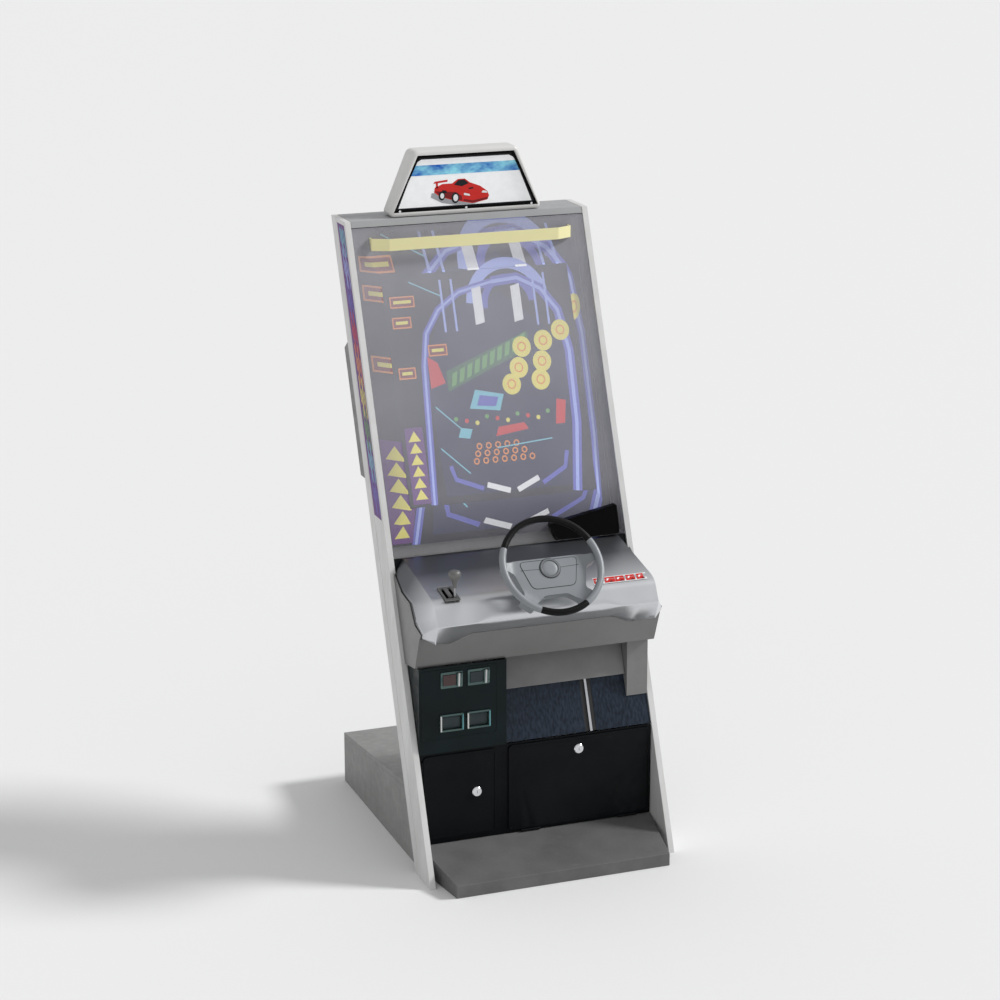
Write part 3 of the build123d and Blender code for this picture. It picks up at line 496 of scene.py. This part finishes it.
def console_cover():
    """The moulded console: crowned top, rounded nose, drooping end lobes and side cheeks."""
    half = [0, 60, 120, 170, 190, 206]
    half += [206 + 7 * step for step in range(1, 11)]
    half += [283 + 6.5 * step for step in range(0, 8)]
    half += [333, 334.4, 335, 336, 338, 345, 355, 362, 366]
    stations = [-x for x in reversed(half[1:])] + half
    shape = bmesh.new()
    rows = []
    for x in stations:
        points = rounded_line(*console_corners(x))
        rows.append([shape.verts.new(at(x, y, z)) for y, z in points])
    for row, following in zip(rows, rows[1:]):
        for a, b, c, d in zip(row, row[1:], following[1:], following):
            shape.faces.new((a, b, c, d))
    behind = Vector((0, 1, -LEAN))
    bmesh.ops.bisect_plane(
        shape, geom=shape.verts[:] + shape.edges[:] + shape.faces[:],
        plane_co=on_lean(0, 800, -0.8), plane_no=behind, clear_outer=True,
    )
    low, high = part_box("shifter_gate")
    low, high = low + Vector((0.0015, 0.006, 0)), high - Vector((0.0015, 0.006, 0))
    for corner, normal in ((low, (1, 0, 0)), (high, (1, 0, 0)), (low, (0, 1, 0)), (high, (0, 1, 0))):
        everything = shape.verts[:] + shape.edges[:] + shape.faces[:]
        bmesh.ops.bisect_plane(shape, geom=everything, plane_co=corner, plane_no=normal)
    opening = []
    for face in shape.faces:
        middle = face.calc_center_median()
        if low.x < middle.x < high.x and low.y < middle.y < high.y and middle.z > low.z - 0.03:
            opening.append(face)
    bmesh.ops.delete(shape, geom=opening, context="FACES")
    piece = new_piece("console_cover", from_bmesh("console_cover", shape, 19), [console_grey], "cabinet")
    wall = piece.modifiers.new("wall", "SOLIDIFY")
    wall.thickness = 0.004
    wall.offset = -1
    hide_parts("console_shell")


# ---------------------------------------------------------------- wheel
WHEEL_TILT = math.radians(41)
wheel_low, wheel_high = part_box("wheel_rim")
WHEEL_CENTRE = (wheel_low + wheel_high) / 2
COLUMN = Matrix.Translation(WHEEL_CENTRE) @ Matrix.Rotation(math.pi / 2 - WHEEL_TILT, 4, "X")
RIM_RADIUS = 0.144
RIM_SECTION = 0.01


def swept(name, path, section, materials, body, closed=False, angle=60):
    """A tube along a path of matrices; section gives the outline at each step."""
    shape = bmesh.new()
    rings = []
    for step, place in enumerate(path):
        rings.append([shape.verts.new(place @ point) for point in section(step)])
    pairs = list(zip(rings, rings[1:]))
    if closed:
        pairs.append((rings[-1], rings[0]))
    else:
        shape.faces.new(rings[0])
        shape.faces.new(rings[-1])
    for ring, following in pairs:
        count = len(ring)
        for i in range(count):
            j = (i + 1) % count
            shape.faces.new((ring[i], ring[j], following[j], following[i]))
    return new_piece(name, from_bmesh(name, shape, angle), materials, body)


def rim_part(name, start, end, material, swell):
    """A stretch of the rim between two angles, its ends drawn in a little."""
    steps = max(12, int((end - start) / 3))
    path = []
    for step in range(steps + 1):
        turn = math.radians(start + (end - start) * step / steps)
        place = Matrix.Rotation(turn, 4, "Z") @ Matrix.Translation((RIM_RADIUS, 0, 0))
        path.append(COLUMN @ place @ Matrix.Rotation(math.pi / 2, 4, "X"))

    def section(step):
        end_gap = min(step, steps - step)
        radius = RIM_SECTION * (0.965 if end_gap == 0 else 1.0) * swell
        ring = []
        for i in range(28):
            angle = 2 * math.pi * i / 28
            ring.append(Vector((radius * math.cos(angle), radius * math.sin(angle), 0)))
        return ring

    return swept(name, path, section, [material], "steering")


def turned(name, place, profile, material, body, sides=48, angle=35):
    """A shape turned about the z axis of a place, from (radius, height) points."""
    def ring(radius):
        points = []
        for i in range(sides):
            turn = 2 * math.pi * i / sides
            points.append(Vector((radius * math.cos(turn), radius * math.sin(turn), 0)))
        return points

    path = [place @ Matrix.Translation((0, 0, height)) for _, height in profile]
    return swept(name, path, lambda step: ring(profile[step][0]), [material], body, angle=angle)


def rounded_loop(corners, radius):
    """A closed outline whose corners are all turned into short curves."""
    points = []
    for i, corner in enumerate(corners):
        before = corners[i - 1]
        after = corners[(i + 1) % len(corners)]
        reach = min(radius, math.dist(before, corner) * 0.45, math.dist(corner, after) * 0.45)
        start = mix(corner, before, reach / math.dist(before, corner))
        end = mix(corner, after, reach / math.dist(corner, after))
        for step in range(6):
            share = step / 5
            points.append(mix(mix(start, corner, share), mix(corner, end, share), share))
    return points


def hub_height(x, y):
    """How high the hub's face stands: flush round the pad, rising to meet the rim."""
    return -22.0 + 11.0 * ease((math.hypot(x, y) - 108) / 30)


def moulded(name, outline, height, low, width, material):
    """A moulded plate on the wheel's column, its face shaped by height, its edges rounded."""
    shape = bmesh.new()
    shape.faces.new([shape.verts.new((x, y, 0)) for x, y in outline])
    for axis, normal in ((0, (1, 0, 0)), (1, (0, 1, 0))):
        for step in range(-13, 14):
            place = [0, 0, 0]
            place[axis] = step * 11.3
            everything = shape.verts[:] + shape.edges[:] + shape.faces[:]
            bmesh.ops.bisect_plane(shape, geom=everything, plane_co=place, plane_no=normal)
    under = bmesh.ops.extrude_face_region(shape, geom=shape.faces[:])["geom"]
    under = {item for item in under if isinstance(item, bmesh.types.BMVert)}
    for corner in shape.verts:
        level = low if corner in under else height(corner.co.x, corner.co.y)
        corner.co = COLUMN @ Vector((corner.co.x / 1000, corner.co.y / 1000, level / 1000))
    piece = new_piece(name, from_bmesh(name, shape, 35), [material], "steering")
    edge = piece.modifiers.new("edges", "BEVEL")
    edge.width = width / 1000
    edge.segments = 4
    edge.limit_method = "ANGLE"
    edge.angle_limit = math.radians(50)
    return piece


def seam(name, points, radius, level, closed):
    """A thin dark joint line on the hub's face."""
    path = []
    for i, point in enumerate(points):
        before = points[i - 1] if closed or i else point
        after = points[(i + 1) % len(points)] if closed or i < len(points) - 1 else point
        turn = math.atan2(after[1] - before[1], after[0] - before[0])
        place = Matrix.Translation((point[0] / 1000, point[1] / 1000, level / 1000))
        path.append(COLUMN @ place @ Matrix.Rotation(turn, 4, "Z") @ Matrix.Rotation(math.pi / 2, 4, "Y"))
    size = radius / 1000
    outline = [Vector((size * math.cos(a), size * math.sin(a), 0)) for a in ring_angles(8)]
    return swept(name, path, lambda step: outline, [seam_black], "steering", closed)


def steering_wheel():
    """Two black and two grey stretches of rim, a moulded hub and a plain ring cap."""
    rim_part("rim_top_grip", 27.3, 152.7, wheel_black, 0.99)
    rim_part("rim_left_grip", 153.3, 243.2, wheel_grey, 1.0)
    rim_part("rim_bottom_grip", 243.8, 300.2, wheel_black, 0.99)
    rim = rim_part("rim_right_grip", 300.8, 386.7, wheel_grey, 1.0)
    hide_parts("wheel_rim")
    right = [
        (100, 33), (118, 29), (140, 27), (140, 6), (120, 1), (108, -8), (97, -50), (92, -68), (104, -84),
        (112, -92), (78, -121), (60, -98), (34, -80),
    ]
    outline = rounded_loop(right + [(-x, y) for x, y in reversed(right)], 9)
    frame_piece = moulded("hub", outline, hub_height, -50, 3.0, wheel_grey)
    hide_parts("wheel_frame")
    pad_outline = rounded_loop([(-88, 27), (88, 27), (64, -58), (-64, -58)], 16)
    pad = moulded("hub_pad", pad_outline, lambda x, y: -21.2, -30, 0.7, wheel_grey)
    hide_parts("wheel_pad")
    seam("pad_outline_seam", pad_outline, 0.9, -21.7, True)
    for side, name in ((-1, "pad_seam_left"), (1, "pad_seam_right")):
        seam(name, [(side * 29, 0), (side * 56, 1), (side * 87, 2)], 0.6, -21.3, False)
    face = COLUMN @ Matrix.Translation((0, 0, -0.0214))
    groove = [(0.0312, 0), (0.0312, 0.0005), (0.03, 0.0006), (0.029, 0.0006)]
    turned("hub_groove", face, groove, seam_black, "steering")
    ring = [
        (0.0295, 0), (0.0295, 0.002), (0.0285, 0.0036), (0.026, 0.0042), (0.0238, 0.0036),
        (0.0228, 0.0012),
    ]
    turned("hub_ring", face, ring, ring_grey, "steering")
    cap = [(0.0224, 0.0002), (0.0224, 0.0016), (0.0214, 0.0022), (0.012, 0.0025), (0.0008, 0.0026)]
    turned("hub_cap", face, cap, wheel_grey, "steering")
    collar = COLUMN @ Matrix.Translation((0, 0, -0.128))
    boot = [(0.03, 0), (0.03, 0.004), (0.026, 0.009), (0.019, 0.013), (0.0125, 0.014), (0.0095, 0.0145)]
    turned("shaft_collar", collar, boot, black_plastic, "cabinet")


def ring_angles(count):
    return [2 * math.pi * i / count for i in range(count)]


# ---------------------------------------------------------------- gear lever
def gear_lever():
    """A turned lever that widens into a pear-shaped knob with a shallow crown."""
    low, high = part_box("shifter_knob")
    middle = (low + high) / 2
    radius = (high.x - low.x) / 2
    top = high.z
    place = Matrix.Translation((middle.x, middle.y, 0))
    profile = [
        (0.0052, top - 0.052), (0.0056, top - 0.044), (0.0072, top - 0.036), (0.0105, top - 0.029),
        (0.0145, top - 0.022), (radius * 0.97, top - 0.0155), (radius * 0.985, top - 0.0115),
        (radius * 0.93, top - 0.0065), (radius * 0.78, top - 0.0028), (radius * 0.5, top - 0.0008),
        (radius * 0.2, top - 0.0001), (0.0006, top),
    ]
    knob = turned("lever_knob", place, profile, gate_steel, "shifter", 40, 60)
    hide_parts("shifter_knob")
    painted("shifter_lever", shaft_steel)


# ---------------------------------------------------------------- printed shapes
def disc(x, z, radius, sides=28, squash=1.0):
    return [[(x + radius * math.cos(a), z + radius * squash * math.sin(a)) for a in ring_angles(sides)]]


def band(points, width):
    """A strip of even width along a line of points, as separate quads."""
    faces = []
    edges = []
    for i, point in enumerate(points):
        before = points[max(i - 1, 0)]
        after = points[min(i + 1, len(points) - 1)]
        length = math.dist(before, after)
        normal = ((before[1] - after[1]) / length, (after[0] - before[0]) / length)
        half = width / 2
        edges.append(
            ((point[0] + normal[0] * half, point[1] + normal[1] * half),
             (point[0] - normal[0] * half, point[1] - normal[1] * half))
        )
    for (a, b), (c, d) in zip(edges, edges[1:]):
        faces.append([a, b, d, c])
    return faces


def arc(x, z, radius, start, end, steps=18, squash=1.0):
    """Points along an arc, with angles in degrees."""
    points = []
    for step in range(steps + 1):
        turn = math.radians(start + (end - start) * step / steps)
        points.append((x + radius * math.cos(turn), z + radius * squash * math.sin(turn)))
    return points


def print_shapes(name, layers, place, body, trim=None, palette=inks):
    """Flat printed shapes laid on a surface, each layer a hair above the last."""
    shape = bmesh.new()
    level = shape.verts.layers.float.new("level")
    used = []
    for height, (colour, faces) in enumerate(layers):
        if colour not in used:
            used.append(colour)
        for outline in faces:
            corners = [shape.verts.new((x, 0, z)) for x, z in outline]
            for corner in corners:
                corner[level] = height
            shape.faces.new(corners).material_index = used.index(colour)
    if trim:
        trim(shape)
    for corner in shape.verts:
        corner.co = place(corner.co.x, corner.co.z, corner[level])
    data = bpy.data.meshes.new(name)
    shape.to_mesh(data)
    shape.free()
    piece = new_piece(name, data, [palette[colour] for colour in used], body)
    return piece


def table_picture(left, low, width, height):
    """An invented pinball table: rails, ramp, bumpers, lamps and flippers."""

    def here(u, v):
        return (left + width * u, low + height * v)

    def path(points):
        return [here(u, v) for u, v in points]

    def dot(u, v, size, sides=24):
        x, z = here(u, v)
        return disc(x, z, width * size, sides)

    def loop(u, v, size, start, end):
        x, z = here(u, v)
        return arc(x, z, width * size, start, end)

    whole = [path([(0, 0), (1, 0), (1, 1), (0, 1)])]
    field = [
        path([(0.2, 0.03), (0.9, 0.03), (0.94, 0.2), (0.93, 0.66), (0.62, 0.9), (0.3, 0.84), (0.17, 0.6)])
    ]
    left_rail = path(
        [(0.13, 0), (0.15, 0.3), (0.17, 0.6), (0.2, 0.74), (0.28, 0.84), (0.4, 0.91), (0.58, 0.945)]
    )
    right_rail = path(
        [(0.9, 0), (0.945, 0.3), (0.955, 0.62), (0.92, 0.8), (0.84, 0.9), (0.72, 0.955), (0.58, 0.945)]
    )
    layers = [
        ("ground", whole),
        ("field", field),
        ("pale_blue", band(loop(0.66, 0.84, 0.2, 15, 175), width * 0.055)),
        ("violet", band(loop(0.66, 0.84, 0.13, 5, 185), width * 0.035)),
        ("violet", band(left_rail, width * 0.035) + band(right_rail, width * 0.05)),
        ("pale_blue", band(left_rail, width * 0.012) + band(right_rail, width * 0.018)),
    ]
    lane = []
    for step in range(10):
        u = 0.3 + step * 0.043
        v = 0.5 + step * 0.016
        lane.append(path([(u, v), (u + 0.026, v + 0.01), (u + 0.04, v + 0.068), (u + 0.012, v + 0.058)]))
    layers.append(("dark_green", [path([(0.28, 0.48), (0.74, 0.64), (0.74, 0.72), (0.28, 0.57)])]))
    layers.append(("green", lane))
    layers.append(
        ("red", [
            path([(0.19, 0.5), (0.27, 0.52), (0.24, 0.61), (0.19, 0.64)]),
            path([(0.83, 0.3), (0.88, 0.3), (0.9, 0.4), (0.85, 0.41)]),
            path([(0.5, 0.27), (0.68, 0.29), (0.66, 0.32), (0.52, 0.31)]),
        ])
    )
    bumpers = [(0.7, 0.65), (0.82, 0.67), (0.92, 0.71), (0.8, 0.58), (0.67, 0.56), (0.78, 0.5), (0.62, 0.49)]
    layers.append(("yellow", [face for u, v in bumpers for face in dot(u, v, 0.05)]))
    layers.append(("orange", [face for u, v in bumpers for face in dot(u, v, 0.024)]))
    layers.append(("yellow", [face for u, v in bumpers for face in dot(u, v, 0.017)]))
    layers.append(
        ("aqua", [
            path([(0.38, 0.4), (0.54, 0.38), (0.57, 0.45), (0.42, 0.48)]),
            path([(0.3, 0.28), (0.36, 0.27), (0.38, 0.31), (0.32, 0.32)]),
        ])
    )
    layers.append(("violet", [path([(0.42, 0.41), (0.52, 0.4), (0.54, 0.44), (0.44, 0.455)])]))
    lamps = [(0.3 + 0.055 * i, 0.36 - 0.012 * (i % 3)) for i in range(10)]
    for colour, chosen in (("green", lamps[::3]), ("red", lamps[1::3]), ("yellow", lamps[2::3])):
        layers.append((colour, [face for u, v in chosen for face in dot(u, v, 0.011, 12)]))
    rows = [(0.38 + 0.05 * i + 0.012 * j, 0.17 + 0.032 * j) for j in range(3) for i in range(7 - j)]
    layers.append(("orange", [face for u, v in rows for face in dot(u, v, 0.016, 16)]))
    layers.append(("field", [face for u, v in rows for face in dot(u, v, 0.009, 12)]))
    slings = [(0.24, 0.16), (0.26, 0.1), (0.4, 0.05)], [(0.87, 0.18), (0.85, 0.11), (0.72, 0.05)]
    layers.append(("violet", [face for line in slings for face in band(path(line), width * 0.022)]))
    flippers = [(0.42, 0.065), (0.54, 0.03)], [(0.7, 0.075), (0.58, 0.03)]
    layers.append(("white", [face for line in flippers for face in band(path(line), width * 0.026)]))
    column = []
    for step in range(6):
        v = 0.03 + step * 0.05
        column.append(path([(0.035, v), (0.1, v), (0.068, v + 0.045)]))
    layers.append(("purple", [path([(0.02, 0.01), (0.115, 0.01), (0.115, 0.34), (0.02, 0.34)])]))
    layers.append(("yellow", column))
    for colour, inset in (("orange", 0.0), ("dark_red", 0.006), ("yellow", 0.018)):
        faces = []
        for u, v, wide in ((0.03, 0.86, 0.13), (0.03, 0.77, 0.1), (0.2, 0.64, 0.1), (0.03, 0.55, 0.09)):
            near, far = u + inset, u + wide - inset
            faces.append(
                path([(near, v + inset), (far, v + inset), (far, v + 0.05 - inset), (near, v + 0.05 - inset)])
            )
        layers.append((colour, faces))
    posts = [
        path([(u, 0.74), (u + 0.012, 0.74), (u + 0.012, 0.97), (u, 0.97)])
        for u in (0.3, 0.36, 0.8, 0.86)
    ]
    layers.append(("pale_blue", posts))
    layers.append(
        ("white", [path([(u, 0.76), (u + 0.05, 0.77), (u + 0.05, 0.93), (u, 0.92)]) for u in (0.47, 0.68)])
    )
    threads = [(0.14, 0.97), (0.3, 0.9)], [(0.2, 0.42), (0.34, 0.3)], [(0.5, 0.22), (0.8, 0.24)], [
        (0.2, 0.24), (0.34, 0.12),
    ]
    layers.append(("aqua", [face for line in threads for face in band(path(line), width * 0.006)]))
    return layers


SCREEN_HALF = 290.0
SCREEN_LOW = 1012.0
SCREEN_HIGH = 1642.0
WELL_HALF = 358.0
WELL_LOW = 890.0
WELL_HIGH = 1776.0
LAYER = 0.12


def on_screen(x, z, level):
    return on_lean(x, z, 8.9 - 0.02 * level)


def on_well(x, z, level):
    """The sloping border: flush with the screen inside, deep at the cabinet's walls."""
    outward = max(
        (abs(x) - SCREEN_HALF - 2) / (WELL_HALF - SCREEN_HALF - 2),
        (z - SCREEN_HIGH - 2) / (WELL_HIGH - SCREEN_HIGH - 2),
        (SCREEN_LOW - 2 - z) / (SCREEN_LOW - 2 - WELL_LOW),
        0.0,
    )
    return on_lean(x, z, 8.6 + 75 * min(outward, 1.0) - LAYER * level)


def trim_to_well(shape):
    """Fold lines at the border's corners, and the screen's rectangle left out."""

    def cut(point, normal, **sides):
        everything = shape.verts[:] + shape.edges[:] + shape.faces[:]
        bmesh.ops.bisect_plane(shape, geom=everything, plane_co=point, plane_no=normal, **sides)

    for side in (-1, 1):
        for inner, outer in ((SCREEN_HIGH + 2, WELL_HIGH), (SCREEN_LOW - 2, WELL_LOW)):
            corner = Vector((side * (SCREEN_HALF + 2), 0, inner))
            along = Vector((side * WELL_HALF, 0, outer)) - corner
            cut(corner, Vector((-along.z, 0, along.x)))
        cut(Vector((side * (SCREEN_HALF + 2), 0, 0)), Vector((1, 0, 0)))
        cut(Vector((side * WELL_HALF, 0, 0)), Vector((side, 0, 0)), clear_outer=True)
    for z in (SCREEN_LOW - 2, SCREEN_HIGH + 2):
        cut(Vector((0, 0, z)), Vector((0, 0, 1)))
    cut(Vector((0, 0, WELL_LOW)), Vector((0, 0, -1)), clear_outer=True)
    cut(Vector((0, 0, WELL_HIGH)), Vector((0, 0, 1)), clear_outer=True)
    inside = []
    for face in shape.faces:
        middle = face.calc_center_median()
        if abs(middle.x) < SCREEN_HALF + 2 and SCREEN_LOW - 2 < middle.z < SCREEN_HIGH + 2:
            inside.append(face)
    bmesh.ops.delete(shape, geom=inside, context="FACES")


def game_pictures():
    """The same invented picture on the screen and, larger, on the border round it; both glow, the screen with its
    own light and the border with painted light.
    """
    small = table_picture(-SCREEN_HALF, SCREEN_LOW, 2 * SCREEN_HALF, SCREEN_HIGH - SCREEN_LOW)
    screen = print_shapes("screen_picture", small, on_screen, "cabinet", None, lit_inks)
    large = table_picture(-WELL_HALF, WELL_LOW, 2 * WELL_HALF, WELL_HIGH - WELL_LOW)
    # The border's print uses the glowing inks too: painted light, as the border is no lamp.
    print_shapes("border_picture", large, on_well, "cabinet", trim_to_well, lit_inks)


# ---------------------------------------------------------------- sign picture
def sign_picture():
    """A dark edge, a band of sky and an invented open sports car on white."""
    low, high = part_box("sign_frame")
    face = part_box("sign_panel")[0].y
    foot = low.z * 1000
    rise = (high.z - low.z) * 1000
    foot_half = high.x * 1000
    slope = 80 / 193

    def edge(x_in, z):
        """A point that far in from the picture's slanting side, at a height."""
        return (foot_half - x_in - slope * z, foot + z)

    inner = [edge(13, 11), edge(13, rise - 32), edge(17, rise - 20), edge(27, rise - 13)]
    outer = [edge(3, 2), edge(3, rise - 32), edge(3, rise - 12), edge(3, rise - 2)]
    border = []
    for side in (-1, 1):
        for a, b, c, d in zip(inner, inner[1:], outer[1:], outer):
            border.append([(side * x, z) for x, z in (a, b, c, d)])
    for a, b in ((inner[0], outer[0]), (inner[-1], outer[-1])):
        border.append([(-a[0], a[1]), a, b, (-b[0], b[1])])
    sky = [[(-172, foot + 104), (174, foot + 104), (166, foot + 134), (-165, foot + 134)]]

    def car(points):
        return [[(x - 12, foot + 16 + z) for x, z in points]]

    shadow = car([(-94, 34), (-96, 22), (-62, 4), (-20, -4), (40, -4), (70, 6), (40, 20), (-40, 38)])
    body = car([
        (-86, 36), (-84, 50), (-60, 60), (-30, 60), (-12, 72), (10, 72), (26, 60), (58, 48), (80, 32),
        (86, 18), (80, 6), (34, -2), (4, 4), (-34, 12), (-66, 22),
    ])
    wing = car([(-88, 62), (-84, 68), (-44, 72), (-44, 66)]) + car(
        [(-80, 48), (-74, 48), (-74, 64), (-80, 64)]
    )
    bonnet = car([(-14, 54), (30, 56), (58, 46), (76, 32), (34, 26), (2, 34)])
    flank = car([(-84, 40), (-20, 34), (0, 22), (2, 8), (-34, 14), (-66, 24)])
    nose = car([(6, 12), (34, 6), (82, 14), (82, 8), (36, 0), (6, 6)])
    window = car([(-24, 56), (-10, 69), (8, 70), (22, 58), (0, 50)])
    intake = car([(-62, 34), (-46, 32), (-48, 40), (-60, 42)]) + car(
        [(20, 44), (34, 46), (38, 42), (24, 40)]
    )
    lamps = car([(6, 24), (26, 20), (24, 26), (8, 30)]) + car([(62, 28), (80, 26), (78, 32), (66, 34)])

    def wheel(x, z, size):
        return disc(x - 12, foot + 16 + z, size, 24, 1.35)

    tyres = wheel(-62, 25, 10) + wheel(-20, 17, 12)
    rims = wheel(-61, 25, 6) + wheel(-19, 17, 7.5)
    layers = [
        ("dark", border), ("sky", sky), ("grey", shadow), ("red", body + wing), ("dark_red", flank + nose),
        ("red", bonnet), ("dark", window + intake + tyres), ("white", rims + lamps),
    ]

    def place(x, z, level):
        return Vector((x / 1000, face - 0.0002 - level * 0.00012, z / 1000))

    print_shapes("sign_picture", layers, place, "cabinet")


# ---------------------------------------------------------------- side picture
def side_pictures():
    """Purple side sheets with long upright streaks of changing colour."""
    low, high = 990.0, 1783.0
    colours = ["violet", "aqua", "green", "yellow", "orange", "red", "violet", "pale_blue", "aqua"]
    layers = []
    run = (high - low) / len(colours)
    for index, colour in enumerate(colours):
        faces = []
        for streak in range(4):
            left = 16 + streak * 13
            start = low + index * run + (streak % 2) * run * 0.4
            end = min(start + run * 0.95, high)
            faces.append(
                [(left, start), (left + 5 + streak % 3, start + 9), (left + 5 + streak % 3, end), (left, end - 9)]
            )
        layers.append((colour, faces))
    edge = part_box("side_art_sheets")[1].x
    for side, name in ((-1, "side_picture_left"), (1, "side_picture_right")):

        def place(offset, z, level, side=side):
            point = on_lean(0, z, offset)
            point.x = side * (edge + 0.00015 + level * 0.00004)
            return point

        print_shapes(name, layers, place, "cabinet")


# ---------------------------------------------------------------- console stripe
def console_stripe():
    """A row of white-edged red shapes on dark, printed right of the wheel."""
    left, near, far = 150.0, 82.0, 113.0
    border, red, dark, gaps = [], [], [], []
    for step, wide in enumerate((30, 38, 34, 34, 28)):
        x = left + step * 33
        border.append([(x, near), (x + 33, near), (x + 39, far), (x + 6, far)])
        red.append(
            [(x + 2.5, near + 3), (x + wide - 3, near + 3), (x + wide + 1, far - 3), (x + 8, far - 3)]
        )
        gaps.append([(x + 9, near + 11), (x + 14, near + 11), (x + 20, far - 11), (x + 14, far - 11)])
        dark.append([(x + 15, near + 3), (x + 29, near + 3), (x + 24, near + 11)])
    # The gaps use the glowing paper ink: painted light on the console top, which has no lamp.
    layers = [("white", border), ("red", red), ("dark_red", dark), ("paper", gaps)]

    def place(x, y, level):
        top = 834 + (866.2 - 834) / (266 - 97) * (y - 97)
        if y < 97:
            top = 834 - (97 - y) * 0.42
        return at(x, y, top + 0.5 + 0.1 * level)

    print_shapes("console_stripe", layers, place, "cabinet")


# ---------------------------------------------------------------- lower front details
TRIM_X = 172


def foot_well_details():
    """The black liners beside the bright trim strip, and the strip's polished face."""
    low, high = 358.0, 503.0
    for side, name in ((-1, "channel_left"), (1, "channel_right")):
        shape = bmesh.new()
        x0, x1 = sorted((TRIM_X + side * 4.8, TRIM_X + side * 16.9))
        front = [on_lean(x, z, 5.2) for x, z in ((x0, low), (x1, low), (x1, high), (x0, high))]
        back = [point + Vector((0, 0.0022, 0)) for point in front]
        corners = [shape.verts.new(point) for point in front + back]
        for face in ((0, 1, 2, 3), (7, 6, 5, 4), (0, 4, 5, 1), (1, 5, 6, 2), (2, 6, 7, 3), (3, 7, 4, 0)):
            shape.faces.new([corners[i] for i in face])
        new_piece(name, from_bmesh(name, shape), [black_plastic], "cabinet")
    path = [on_lean(TRIM_X, z, 0.2) for z in (low + 0.6, high - 0.6)]
    places = [Matrix.Translation(point) for point in path]
    outline = []
    for turn in range(13):
        angle = math.pi + math.pi * turn / 12
        outline.append(Vector((0.0043 * math.cos(angle), 0.0024 + 0.003 * math.sin(angle), 0)))
    swept("trim_strip", places, lambda step: outline, [chrome], "cabinet")


# The two coin columns, the heights of their entries and returns, and half a bar's width.
COIN_COLUMNS = ((-263.0, "left"), (-181.0, "right"))
ENTRY_LOW, ENTRY_HIGH = 554, 594
RETURN_LOW, RETURN_HIGH = 421, 467
BAR_HALF = 2.6


def coin_details():
    """Pale entry bars and the teal and white edges of the coin returns."""
    front = (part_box("coin_bezels")[0].y - FOOT_TIP) * 1000
    for column, side in COIN_COLUMNS:
        for index, (x, colour) in enumerate(((16.4, bar_steel), (24.6, bezel_steel))):
            shape = bmesh.new()
            near = front - 0.3
            foot, head = column + x + 4.0, column + x + 5.0
            outline = [
                (foot - BAR_HALF, ENTRY_LOW), (foot + BAR_HALF, ENTRY_LOW),
                (head + BAR_HALF, ENTRY_HIGH), (head - BAR_HALF, ENTRY_HIGH),
            ]
            bars = [shape.verts.new(at(px, near, pz)) for px, pz in outline]
            backs = [shape.verts.new(at(px, near + 5, pz)) for px, pz in outline]
            shape.faces.new(bars)
            shape.faces.new(list(reversed(backs)))
            for i in range(4):
                j = (i + 1) % 4
                shape.faces.new((bars[i], backs[i], backs[j], bars[j]))
            piece = new_piece(
                f"entry_bar_{side}_{index}", from_bmesh("entry_bar", shape), [colour], "cabinet",
            )
            edge = piece.modifiers.new("edges", "BEVEL")
            edge.width = 0.0008
            edge.segments = 2
        for index, (x, colour) in enumerate(((-33.0, bar_steel), (33.0, teal_plate))):
            place = [Matrix.Translation(at(column + x, front + 3.6, z)) for z in (RETURN_LOW, RETURN_HIGH)]
            outline = [Vector((0.0024 * math.cos(a), 0.0016 * math.sin(a), 0)) for a in ring_angles(14)]
            swept(f"return_edge_{side}_{index}", place, lambda step, o=outline: o, [colour], "cabinet")


# ---------------------------------------------------------------- stage
def stage():
    """A pale floor, even surroundings and one soft key light from the front right."""
    shape = bmesh.new()
    bmesh.ops.create_grid(shape, x_segments=1, y_segments=1, size=60)
    floor = bpy.data.objects.new("floor", from_bmesh("floor", shape))
    scene.collection.objects.link(floor)
    floor.data.materials.append(finish("floor_pale", (0.8, 0.8, 0.8), (0.8, 0.8, 0.8), rough=0.9, relief=0))
    world = bpy.data.worlds.new("surroundings")
    world.use_nodes = True
    world.node_tree.nodes["Background"].inputs["Color"].default_value = (0.6, 0.6, 0.605, 1)
    scene.world = world
    key = bpy.data.lights.new("key", "SUN")
    key.energy = 2.45
    key.angle = math.radians(12)
    light = bpy.data.objects.new("key", key)
    towards = Vector((1.35, -0.28, 1.0))
    light.rotation_euler = towards.to_track_quat("Z", "Y").to_euler()
    scene.collection.objects.link(light)
    scene.view_settings.view_transform = "Standard"


def camera():
    """The photograph's angle: from the front left, a little above."""
    data = bpy.data.cameras.new("view")
    data.lens = 96.23
    data.sensor_width = 36
    data.clip_end = 300
    view = bpy.data.objects.new("view", data)
    view.location = (-2.643, -7.015, 3.192)
    view.rotation_euler = (math.radians(73.77), math.radians(0.038), math.radians(-20.52))
    scene.collection.objects.link(view)
    scene.camera = view


camera()
paint_all()
console_cover()
steering_wheel()
gear_lever()
game_pictures()
sign_picture()
side_pictures()
console_stripe()
foot_well_details()
coin_details()
stage()
